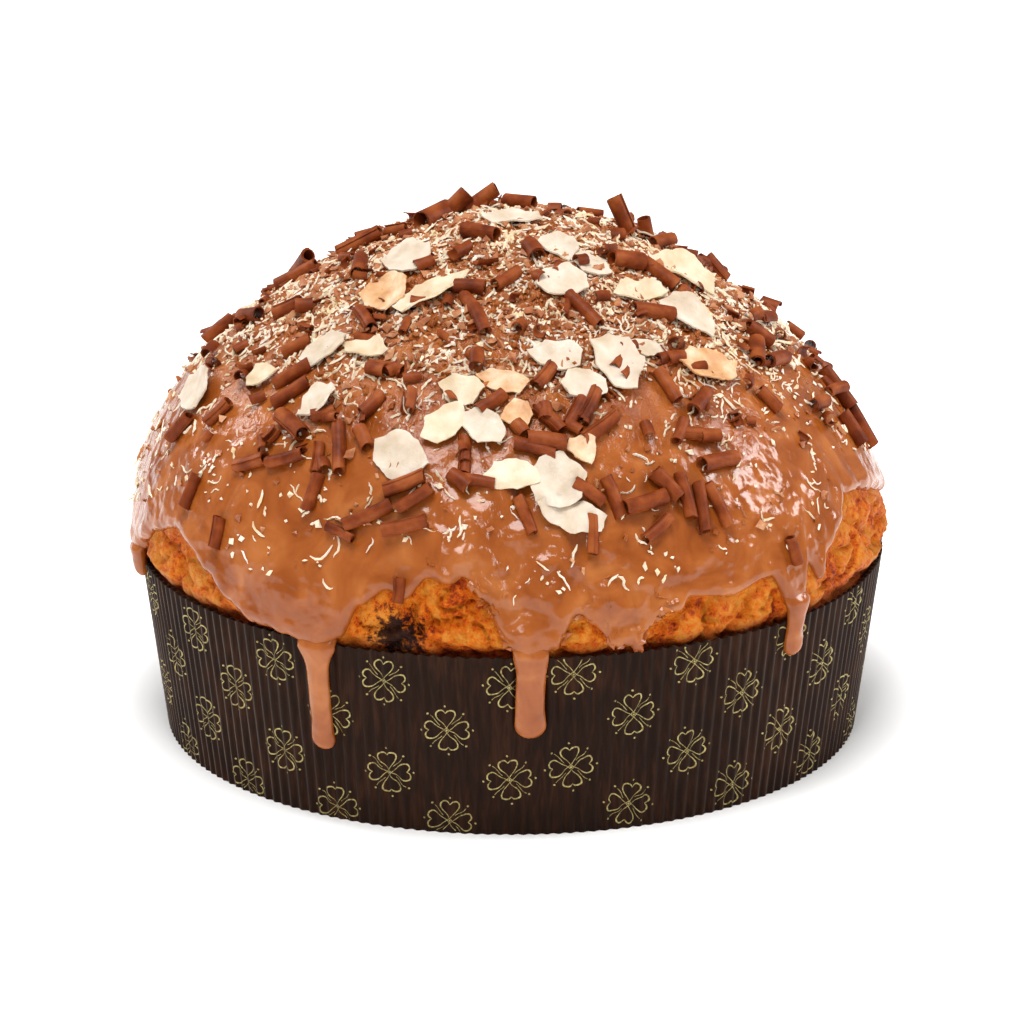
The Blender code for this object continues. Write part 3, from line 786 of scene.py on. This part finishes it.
# Chocolate curls: shaved off a bar with a scraper, so each is a thin sheet rolled up on itself once or
# twice, open at both ends. They were thrown on the glaze while it was wet and stand in it.
# (direction, angle from the crown, turn from downhill, length, width in mm)
CURLS = (
    (-8, 63, 5, 11, 3.6), (-6, 67, 83, 12, 3.6), (2, 72, 21, 11, 3.6), (4, 62, 70, 12, 4),
    (6, 61, 80, 11, 5), (12, 75, -5, 11, 3.4), (12, 69, 50, 10, 3.8), (16, 70, 12, 12, 4),
    (21, 71, -80, 13, 4.4), (22, 75, -57, 10, 3.6), (25, 69, 33, 10, 4.4), (28, 71, 0, 13, 3.8),
    (30, 73, -7, 14, 3.8), (33, 73, 13, 13, 3.6), (36, 67, 90, 12, 4.6), (34, 62, 75, 12, 4),
    (31, 61, -42, 8, 3.6), (45, 82, 10, 8, 3.4), (-17, 68, -62, 12, 4.2), (-15, 70, -52, 11, 3.8),
    (-22, 73, -60, 15, 4.2), (-16, 74, -73, 13, 4), (-26, 76, 75, 9, 3), (-32, 71, -4, 11, 3.6),
    (-48, 80, 3, 9, 3.6), (-57, 76, -5, 10, 3.8), (-46, 69, -64, 11, 4), (-39, 67, -64, 12, 3.8),
    (-41, 62, 70, 12, 5), (-33, 66, 14, 9, 3.4), (-30, 64, 22, 15, 4), (-26, 62, 40, 7, 4.4),
    (-27, 56, -26, 8, 4), (-28, 49, 88, 11, 4), (-46, 57, -33, 12, 4), (-49, 54, -35, 12, 4.2),
    (-55, 49, -30, 9, 4), (-60, 64, -25, 9, 3.6), (-69, 69, -25, 10, 4), (-95, 57, 5, 11, 4.2),
    (-85, 50, -60, 12, 4.6), (-100, 42, -10, 15, 4.8), (-72, 44, -30, 9, 4.2), (-95, 28, 5, 14, 4.6),
    (-68, 30, 60, 10, 4.6), (-42, 40, 60, 11, 4), (-15, 29, 90, 9, 4.4), (-13, 33, 38, 8, 4),
    (-9, 37, 25, 11, 4), (-2, 26, -45, 9, 4), (22, 35, 20, 14, 4.4), (12, 18, 10, 7, 5),
    (-25, 13, 85, 11, 4.6), (52, 26, 60, 10, 5.4), (60, 31, 5, 12, 4.4), (43, 38, 65, 13, 4.6),
    (38, 48, 85, 9, 4), (33, 53, 5, 11, 4), (38, 57, -60, 9, 4.6), (56, 60, 15, 8, 3.8),
    (64, 52, -60, 11, 5), (69, 55, 80, 11, 4.6), (72, 50, 20, 9, 4.6), (85, 66, -10, 14, 4.6),
    (76, 71, 0, 11, 4.4), (84, 73, -10, 13, 4), (98, 36, 70, 12, 4.4), (105, 40, 10, 10, 4.4),
    (-100, 14, 60, 12, 6.5), (-130, 10, 30, 12, 5), (170, 8, 70, 10, 4.6), (7, 49, -38, 9, 4),
    (-4, 54, -50, 9, 4), (7, 57, 40, 10, 4), (12, 56, -33, 10, 4), (15, 55, -34, 12, 4),
    (16, 59, -58, 13, 4.2), (-16, 83, 0, 7, 3.4),
)

# Curls with one end up: the same, and how steeply they stand.
STANDING_CURLS = (
    (95, 19.5, 175, 13, 4.8, 47), (103, 25, 180, 7, 4.6, 55), (-137, 7.5, -133, 10.6, 4.6, 31),
    (-112, 11, -158, 11, 4.8, 34), (-115, 45, 150, 14, 4.6, 12), (105, 41, 165, 9, 4.4, 18),
)
FAR_SIDE_CURLS = 18
FAR_SIDE_FLAKES = 8
FAR_SIDE_FROM = 105.0
FAR_SIDE_TO = 250.0
FAR_SIDE_TOP = 20.0
FAR_SIDE_FOOT = 76.0
FAR_SIDE_WANDER = 4.0
GOLDEN_SHARE = 0.618034
# In millimetres: how deep a curl sits, its sheet's thickness, and how much tighter each turn of it is.
CURL_SINK = 0.6
CURL_WALL = 0.32
CURL_TIGHTENS = 0.42
CURL_BEND = 0.25
CURL_TORN = 0.05
CURL_CREASE = 50.0


def far_side_rows(count, lengths, widths):
    """Places on the far side, spread evenly by area with a little wander."""
    draw = random.Random(count)
    top = math.cos(math.radians(FAR_SIDE_TOP))
    foot = math.cos(math.radians(FAR_SIDE_FOOT))
    for index in range(count):
        share = (index * GOLDEN_SHARE) % 1.0
        direction = FAR_SIDE_FROM + (FAR_SIDE_TO - FAR_SIDE_FROM) * share
        level = top + (foot - top) * (index + 0.5) / count
        down = math.degrees(math.acos(level))
        wander = draw.uniform(-FAR_SIDE_WANDER, FAR_SIDE_WANDER)
        yield (
            direction + wander, down, draw.uniform(-90, 90), draw.uniform(*lengths), draw.uniform(*widths),
        )


def seat_on_dome(direction, down, place):
    """Matrix of a place on the skin: X sideways, Y uphill, Z outwards, in millimetres."""
    side = polar(direction + 90.0, 1.0, 0.0)
    uphill = (on_dome(direction, down - 0.5) - on_dome(direction, down + 0.5)).normalized()
    turn = Matrix((side, uphill, side.cross(uphill))).transposed().to_4x4()
    return Matrix.Translation(place) @ turn @ Matrix.Scale(MM, 4)


def add_curl(shape, direction, down, turn, length, width, lean=0.0, rolled=(1.1, 1.7), cells=(20, 5)):
    """Rolled sheet, lying in the glaze or with one end up."""
    draw = random.Random(round(down * 7) * 1000 + round(direction * 7))
    turns = draw.uniform(*rolled)
    start = draw.uniform(0, 2 * math.pi)
    coning = draw.uniform(-0.12, 0.12)
    verts = bmesh.ops.create_grid(shape, x_segments=cells[0], y_segments=cells[1], size=0.5)["verts"]
    for vert in verts:
        share = vert.co.x + 0.5
        angle = start + share * turns * 2 * math.pi
        radius = (width / 2 - CURL_WALL / 2 - CURL_TIGHTENS * turns * share) * (1.0 + coning * vert.co.y)
        ragged = CURL_TORN * noise.noise(Vector((share * 9, vert.co.y, down)))
        slant = CURL_TORN * math.sin(angle + start)
        along = vert.co.y * length * (1.0 + ragged) + slant * length * abs(vert.co.y)
        bend = CURL_BEND * (1 - 4 * vert.co.y**2)
        vert.co = (radius * math.cos(angle) + bend, radius * math.sin(angle), along)
    lean = math.radians(lean)
    lay = Matrix.Rotation(math.radians(turn), 4, "Z") @ Matrix.Rotation(math.pi / 2 - lean, 4, "X")
    rise = width / 2 * math.cos(lean) + length / 2 * math.sin(lean) - CURL_SINK * (1.0 + math.sin(lean))
    seat = seat_on_dome(direction, down, coat_place(direction, down))
    bmesh.ops.transform(shape, matrix=seat @ Matrix.Translation((0, 0, rise)) @ lay, verts=verts)


# Shaved dark milk chocolate: satin where the blade polished it, and paler orange brown on its torn edges.
# The blade left it finely scuffed, in marks of about 0.5 mm.
shaved, shader, place = new_material("shaved_chocolate", Roughness=0.45, IOR=1.45, Specular_IOR_Level=0.17)
tone = add(shaved, "TexNoise", {"Vector": place}, {"Scale": 160.0, "Detail": 3.0}).outputs["Fac"]
body = add(
    shaved, "ValToRGB", {"Fac": tone}, stops=((0.3, "5C230A"), (0.5, "7E3814"), (0.7, "9A5024"))
).outputs["Color"]
worn = add(shaved, "NewGeometry").outputs["Pointiness"]
rims = add(
    shaved, "MapRange", {"Value": worn}, {"From Min": 0.54, "From Max": 0.66, "To Min": 0.0, "To Max": 0.85}
).outputs["Result"]
edged = add(
    shaved, "Mix", {"Factor": rims, "A": body}, {"B": linear("C8702E")}, data_type="RGBA"
).outputs["Result"]
marks = add(shaved, "TexNoise", {"Vector": place}, {"Scale": 1900.0, "Detail": 2.0}).outputs["Fac"]
scuffs = add(shaved, "Bump", {"Height": marks}, {"Distance": 0.00025, "Strength": 0.5}).outputs["Normal"]
feed(shaved, shader, Base_Color=edged, Normal=scuffs)

shape = bmesh.new()
for row in CURLS:
    add_curl(shape, *row)
for row in STANDING_CURLS:
    add_curl(shape, *row[:5], lean=row[5])
for row in far_side_rows(FAR_SIDE_CURLS, (8, 13), (3.6, 4.8)):
    add_curl(shape, *row)
bmesh.ops.solidify(shape, geom=shape.faces[:], thickness=-CURL_WALL * MM)
curls = finished("chocolate_curls", shape, shaved)
curls.data.set_sharp_from_angle(angle=math.radians(CURL_CREASE))
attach(curls, "root")
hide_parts("milk_chocolate_glaze")


# Broken curls: scraps of the same shavings, less than one turn round, thick among the whole ones on the
# crown and rare below.
BROKEN_CURLS = 240
BROKEN_UNTIL = 68.0
BROKEN_CROWDING = 0.9

draw = random.Random(3)
cap_height = 1.0 - math.cos(math.radians(BROKEN_UNTIL))
shape = bmesh.new()
for _ in range(BROKEN_CURLS):
    down = math.degrees(math.acos(1.0 - draw.random() ** BROKEN_CROWDING * cap_height))
    add_curl(
        shape, draw.uniform(-180, 180), down, draw.uniform(-90, 90), draw.triangular(2.5, 8.5, 4.0),
        draw.uniform(2.2, 4.4), lean=draw.triangular(0, 35, 5), rolled=(0.35, 0.95), cells=(8, 3),
    )
bmesh.ops.solidify(shape, geom=shape.faces[:], thickness=-CURL_WALL * MM)
scraps = finished("broken_curls", shape, shaved)
scraps.data.set_sharp_from_angle(angle=math.radians(CURL_CREASE))
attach(scraps, "root")
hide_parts("milk_chocolate_glaze")


# Flakes: planed off blocks of white, cream and caramel chocolate, half a millimetre thick, with ragged
# outlines and a ruffle from the blade. They lie in the glaze, and each draws its outline from its place.
# (direction, angle from the crown, turn from downhill, length, width in mm)
WHITE_FLAKES = (
    (0, 5, 90, 17, 9), (-50, 24, 80, 18, 14), (-46, 48, -20, 15, 11), (-38, 57, -10, 13, 11),
    (-72, 63, 80, 18, 15), (-19, 64, 60, 16, 14), (-5, 58, 60, 15, 10), (11, 45, 75, 15, 10),
    (15, 51, 80, 13, 11), (24, 47, -5, 20, 12), (33, 45, 80, 13, 7), (27, 18, 20, 12, 8),
    (19, 28, 80, 15, 11), (36, 24, 10, 12, 9), (53, 41, 30, 18, 10), (7, 67, 30, 16, 15),
    (9, 72, 70, 17, 10),
)
BUTTER_FLAKES = (
    (-27, 31, -34, 24, 8), (-35, 46, 85, 14, 7), (-56, 56, -40, 10, 7), (-10, 52, 70, 12, 10),
    (-12, 58, -30, 14, 10), (75, 33, 20, 20, 14), (45, 33, 80, 18, 7), (0, 66, 90, 14, 9),
)
CARAMEL_FLAKES = (
    (-43, 33, 60, 17, 14), (-2, 50, 70, 14, 8), (46, 51, 60, 19, 11), (12, 62, 40, 9, 8),
    (1, 56, 10, 9, 8),
)
FLAKE_SIDES = 7
FLAKE_CUTS = 5
FLAKE_PLATE = 0.5
FLAKE_CUP = 0.03
FLAKE_LIFT = 0.9
FLAKE_SINK = 0.1
FLAKE_TILT = 4.0
FLAKE_BEND = (-0.3, 2.2)
FLAKE_RAGGED = (0.85, 1.12)
FLAKE_SPREAD = 1.08
FLAKE_CREASE = 45.0


def add_flake(shape, direction, down, turn, length, width):
    """Thin cupped plate with a torn edge."""
    draw = random.Random(round(down) * 1000 + round(direction))
    made = bmesh.ops.create_circle(shape, cap_ends=True, cap_tris=True, segments=FLAKE_SIDES, radius=1.0)
    bending = draw.uniform(*FLAKE_BEND)
    for vert in made["verts"]:
        ragged = draw.uniform(*FLAKE_RAGGED) * FLAKE_SPREAD
        vert.co = (vert.co.x * width / 2 * ragged, vert.co.y * length / 2 * ragged, 0)
    edges = list({edge for vert in made["verts"] for edge in vert.link_edges})
    bmesh.ops.subdivide_edges(shape, edges=edges, cuts=FLAKE_CUTS, use_grid_fill=True)
    verts = [vert for vert in shape.verts if not vert.tag]
    for vert in verts:
        place = Vector((vert.co.x, vert.co.y, down * 3.1 + direction))
        reach = math.hypot(vert.co.x / width * 2, vert.co.y / length * 2)
        torn_by = noise.noise_vector(place / 1.6) * 0.4 + noise.noise_vector(place / 5.0) * 1.1
        vert.co.xy += torn_by.xy * smooth((reach - 0.6) / 0.4)
        ruffle = 1.5 * noise.noise(place / 6.0) + 0.4 * noise.noise(place / 2.2)
        bend = bending * (vert.co.x / width * 2 + 0.3) ** 2
        vert.co.z = FLAKE_CUP * width * reach + FLAKE_LIFT + bend + ruffle * (0.4 + 0.6 * reach)
        vert.tag = True
    tilt = Matrix.Rotation(math.radians(draw.uniform(-FLAKE_TILT, FLAKE_TILT)), 4, "Y")
    turned = Matrix.Rotation(math.radians(turn), 4, "Z") @ tilt
    seat = seat_on_dome(direction, down, on_dome(direction, down))
    bmesh.ops.transform(
        shape, matrix=seat @ Matrix.Translation((0, 0, -FLAKE_SINK)) @ turned, verts=verts
    )


def flake_material(name, stops, roughness):
    """Planed chocolate: waxy, a little translucent, nicked by the blade."""
    material, shader, place = new_material(
        name, Roughness=roughness, IOR=1.45, Specular_IOR_Level=0.4, Subsurface_Weight=0.25,
        Subsurface_Scale=0.0015, Subsurface_Radius=(1.0, 0.8, 0.5),
    )
    # Milk solids and butter part in clouds of about 6 mm.
    clouds = add(material, "TexNoise", {"Vector": place}, {"Scale": 160.0, "Detail": 3.0}).outputs["Fac"]
    colour = add(material, "ValToRGB", {"Fac": clouds}, stops=stops).outputs["Color"]
    nicks = add(material, "TexNoise", {"Vector": place}, {"Scale": 1300.0, "Detail": 3.0}).outputs["Fac"]
    nicked = add(
        material, "Bump", {"Height": nicks}, {"Distance": 0.0003, "Strength": 0.5}
    ).outputs["Normal"]
    feed(material, shader, Base_Color=colour, Normal=nicked)
    return material


# White chocolate has no cocoa solids, so it is ivory: yellower with more butter, and tan with caramel.
white_chocolate = flake_material(
    "planed_white_chocolate", ((0.3, "C6B196"), (0.5, "D6C4AF"), (0.7, "E2D5C4")), 0.45
)
butter_chocolate = flake_material(
    "planed_butter_chocolate", ((0.3, "CDB28C"), (0.5, "DCC6A6"), (0.7, "E8D6BC")), 0.4
)
caramel_chocolate = flake_material(
    "planed_caramel_chocolate", ((0.3, "C48A58"), (0.5, "DCAE80"), (0.7, "EBCFB0")), 0.38
)
far_flakes = list(far_side_rows(FAR_SIDE_FLAKES, (11, 18), (8, 13)))
for name, rows, material in (
    ("white_chocolate_flakes", (*WHITE_FLAKES, *far_flakes[:5]), white_chocolate),
    ("butter_chocolate_flakes", (*BUTTER_FLAKES, *far_flakes[5:7]), butter_chocolate),
    ("caramel_chocolate_flakes", (*CARAMEL_FLAKES, *far_flakes[7:]), caramel_chocolate),
):
    shape = bmesh.new()
    for row in rows:
        add_flake(shape, *row)
    bmesh.ops.recalc_face_normals(shape, faces=shape.faces)
    bmesh.ops.solidify(shape, geom=shape.faces[:], thickness=FLAKE_PLATE * MM)
    bmesh.ops.recalc_face_normals(shape, faces=shape.faces)
    flakes = finished(name, shape, material)
    flakes.data.set_sharp_from_angle(angle=math.radians(FLAKE_CREASE))
    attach(flakes, "root")
    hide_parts("milk_chocolate_glaze")


# Shreds and crumbs: what the grater and the knife leave of the same white and milk chocolate. They cover
# the crown thickly, in streaks that run downhill, and thin out to a few specks above the drips.
SHREDS_END = 84.0
EDGE_MARGIN = 6.0
STREAK_WIDTH = 0.0075
STREAK_LENGTH = 0.040
PATCH_SPAN = 0.014
CROWN_FADES_OVER = 24.0
GRAIN_TIP = 0.35
SHRED_RINGS = 6
SHRED_WINDS = 0.7


def scattered_places(draw, count, thick_until, thin_share, seed):
    """Seeded places on the glaze: even by area, thick near the crown, in streaks downhill."""
    lowest = math.cos(math.radians(SHREDS_END))
    while count:
        direction = draw.uniform(-180, 180)
        down = math.degrees(math.acos(draw.uniform(lowest, 1.0)))
        streak = 0.5 + 0.8 * streaked(direction, down, STREAK_WIDTH, STREAK_LENGTH, seed)
        patch = 0.5 + 1.2 * noise.noise(on_dome(direction, down) / PATCH_SPAN + Vector((0, 0, seed)))
        crown = smooth((thick_until - down) / CROWN_FADES_OVER)
        chance = mix(thin_share * patch, 0.1 + 0.45 * streak + 0.45 * patch, crown)
        if down < edge_angle(direction) - EDGE_MARGIN and draw.random() < chance:
            count -= 1
            yield direction, down


def grain_seat(draw, direction, down, lift):
    """Matrix of a loose grain on the glaze's skin, turned any way about the skin's normal."""
    seat = seat_on_dome(direction, down, coat_place(direction, down))
    spin = Matrix.Rotation(draw.uniform(0, 2 * math.pi), 4, "Z")
    tip = Matrix.Rotation(draw.uniform(-GRAIN_TIP, GRAIN_TIP), 4, "X")
    return seat @ Matrix.Translation((0, 0, lift)) @ spin @ tip


def add_shred(shape, draw, direction, down, length, thickness):
    """Crooked thread of chocolate, three-sided and thin at both ends."""
    seat = grain_seat(draw, direction, down, thickness * 0.6)
    heading = 0.0
    middle = Vector((-length / 2, 0, 0))
    rings = []
    for step in range(SHRED_RINGS):
        girth = thickness / 2 * (0.4 if step in (0, SHRED_RINGS - 1) else draw.uniform(0.75, 1.25))
        out = Vector((-math.sin(heading), math.cos(heading), 0)) * girth
        top = Vector((0, 0, girth))
        corners = [out * 1.3 - top, out * -1.3 - top, top]
        rings.append([shape.verts.new(seat @ (middle + corner)) for corner in corners])
        heading += draw.uniform(-SHRED_WINDS, SHRED_WINDS)
        ahead = Vector((math.cos(heading), math.sin(heading), draw.uniform(-0.05, 0.12)))
        middle += ahead * length / (SHRED_RINGS - 1)
    for first, second in zip(rings, rings[1:]):
        for side in range(3):
            after = (side + 1) % 3
            shape.faces.new((first[side], first[after], second[after], second[side]))
    shape.faces.new(rings[0][::-1])
    shape.faces.new(rings[-1])


def add_crumb(shape, draw, direction, down, size, proud=0.2):
    """Eight-faced broken crumb."""
    seat = grain_seat(draw, direction, down, size * proud)
    spans = [size * draw.uniform(*limits) for limits in ((0.35, 0.75), (0.3, 0.55), (0.25, 0.5))]
    ends = []
    for axis in range(3):
        for sign in (1, -1):
            place = Vector([0.25 * size * draw.uniform(-1, 1) for _ in range(3)])
            place[axis] = sign * spans[axis] * draw.uniform(0.8, 1.2)
            ends.append(shape.verts.new(seat @ place))
    for x in (0, 1):
        for y in (2, 3):
            for z in (4, 5):
                corners = (ends[x], ends[y], ends[z])
                shape.faces.new(corners if (x + y + z) % 2 == 0 else corners[::-1])


def finished_scatter(name, shape, material):
    """Object of loose grains, faceted."""
    bmesh.ops.recalc_face_normals(shape, faces=shape.faces)
    loose = finished(name, shape, material)
    loose.data.shade_flat()
    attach(loose, "root")
    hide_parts("milk_chocolate_glaze")


def scatter(draw, name, material, count, spread, lengths, thicknesses):
    """Piece of loose grains over the glaze: shreds where thicknesses are given, and else crumbs."""
    shape = bmesh.new()
    for direction, down in scattered_places(draw, count, *spread):
        length = draw.triangular(*lengths)
        if thicknesses:
            add_shred(shape, draw, direction, down, length, draw.uniform(*thicknesses))
        else:
            add_crumb(shape, draw, direction, down, length)
    finished_scatter(name, shape, material)


grated_chocolate = flake_material(
    "grated_white_chocolate", ((0.3, "EBCDA0"), (0.5, "F4DFC0"), (0.7, "FBEEDA")), 0.5
)
crushed_chocolate = flake_material(
    "crushed_milk_chocolate", ((0.3, "93502F"), (0.5, "B5744A"), (0.7, "CE9A70")), 0.5
)

# (name, material, how many, (thick down to this angle, their share below it, seed of their patches),
# (least, greatest and usual length in mm), thickness of shreds in mm)
LOOSE_GRAINS = (
    ("white_chocolate_shreds", grated_chocolate, 5000, (64.0, 0.10, 1.0), (1.2, 9.0, 2.6), (0.3, 0.65)),
    ("milk_chocolate_shreds", crushed_chocolate, 600, (56.0, 0.08, 9.0), (1.5, 7.0, 2.6), (0.5, 1.5)),
    ("white_chocolate_crumbs", grated_chocolate, 7000, (64.0, 0.10, 1.0), (0.5, 2.4, 0.9), ()),
    ("glazed_crumbs", glaze, 4500, (62.0, 0.05, 4.0), (0.6, 3.0, 1.2), ()),
    ("milk_chocolate_crumbs", crushed_chocolate, 1500, (58.0, 0.06, 9.0), (0.6, 4.2, 1.2), ()),
)
draw = random.Random(11)
for row in LOOSE_GRAINS[:4]:
    scatter(draw, *row)

# The glaze's edge is torn to the right of the middle, where bits of it hang in crumbs and splinters:
# (from one direction, to another, how many).
TORN_EDGES = ((-6.0, 1.0, 20), (7.0, 12.0, 14), (13.0, 24.0, 52), (-15.0, -11.0, 5))
TORN_WITHIN = 2.2
TORN_CRUMB_SHARE = 0.85
TORN_SUNK = -0.3

shape = bmesh.new()
for start, end, count in TORN_EDGES:
    for _ in range(count):
        direction = draw.uniform(start, end)
        down = glaze_edge(direction) - abs(draw.gauss(0.0, TORN_WITHIN))
        if draw.random() < TORN_CRUMB_SHARE:
            add_crumb(shape, draw, direction, down, draw.triangular(1.2, 4.2, 2.0), TORN_SUNK)
        else:
            add_shred(shape, draw, direction, down - 1.0, draw.uniform(2.0, 5.0), draw.uniform(0.6, 1.1))
finished_scatter("torn_glaze_bits", shape, glaze)

scatter(draw, *LOOSE_GRAINS[4])


# Studio: a matt white table that glows outside the case's shadow, in a dim white room. One large soft lamp
# hangs above, and smaller ones stand right, left and by the camera. The right one makes the highlights.
FLOOR_SIZE = 6.0
ROOM_LIGHT = 0.35
LAMP_AIM = 0.06
# (name, direction, height, distance, width, power, height of its face in widths)
LAMPS = (
    ("right_softbox", 92.0, 0.66, 1.0, 0.26, 6.0, 1.7),
    ("left_softbox", -120.0, 0.6, 1.0, 0.2, 3.0, 1.6),
    ("top_softbox", -20.0, 1.25, 0.42, 0.6, 14.5, 1.0),
    ("camera_softbox", -9.0, 0.8, 1.25, 0.16, 1.5, 1.0),
)

table, shader, place = new_material(
    "matt_white_table_with_painted_glow", Roughness=0.9, Specular_IOR_Level=0.1, Base_Color=linear("F6F5F4"),
    Emission_Color=linear("FFFFFF"),
)
# Painted glow: the table gives off light of its own, none under the case and rising to full 150 mm from the
# axis.
away = add(table, "VectorMath", {0: place}, operation="LENGTH").outputs["Value"]
glow = add(
    table, "MapRange", {"Value": away}, {"From Min": 0.106, "From Max": 0.15, "To Min": 0.0, "To Max": 0.6}
).outputs["Result"]
feed(table, shader, Emission_Strength=glow)

shape = bmesh.new()
bmesh.ops.create_grid(shape, x_segments=1, y_segments=1, size=FLOOR_SIZE / 2)
floor = finished("table", shape, table)
floor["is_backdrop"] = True

world = bpy.data.worlds.new("white_room")
world.use_nodes = True
backdrop = world.node_tree.nodes["Background"]
backdrop.inputs["Color"].default_value = (1.0, 1.0, 1.0, 1.0)
backdrop.inputs["Strength"].default_value = ROOM_LIGHT
bpy.context.scene.world = world

for name, direction, height, distance, size, power, taller in LAMPS:
    light = bpy.data.lights.new(name, "AREA")
    light.shape = "RECTANGLE"
    light.size = size
    light.size_y = size * taller
    light.energy = power
    holder = bpy.data.objects.new(name, light)
    holder.location = polar(direction, distance, height)
    facing = Vector((0, 0, LAMP_AIM)) - holder.location
    holder.rotation_euler = facing.to_track_quat("-Z", "Y").to_euler()
    bpy.context.scene.collection.objects.link(holder)

bpy.context.scene.view_settings.view_transform = "Standard"
bpy.context.scene.view_settings.look = "None"

sides = {name: [list(corner) for corner in box] for name, box in (("cad", cad_box), ("visual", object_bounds()))}
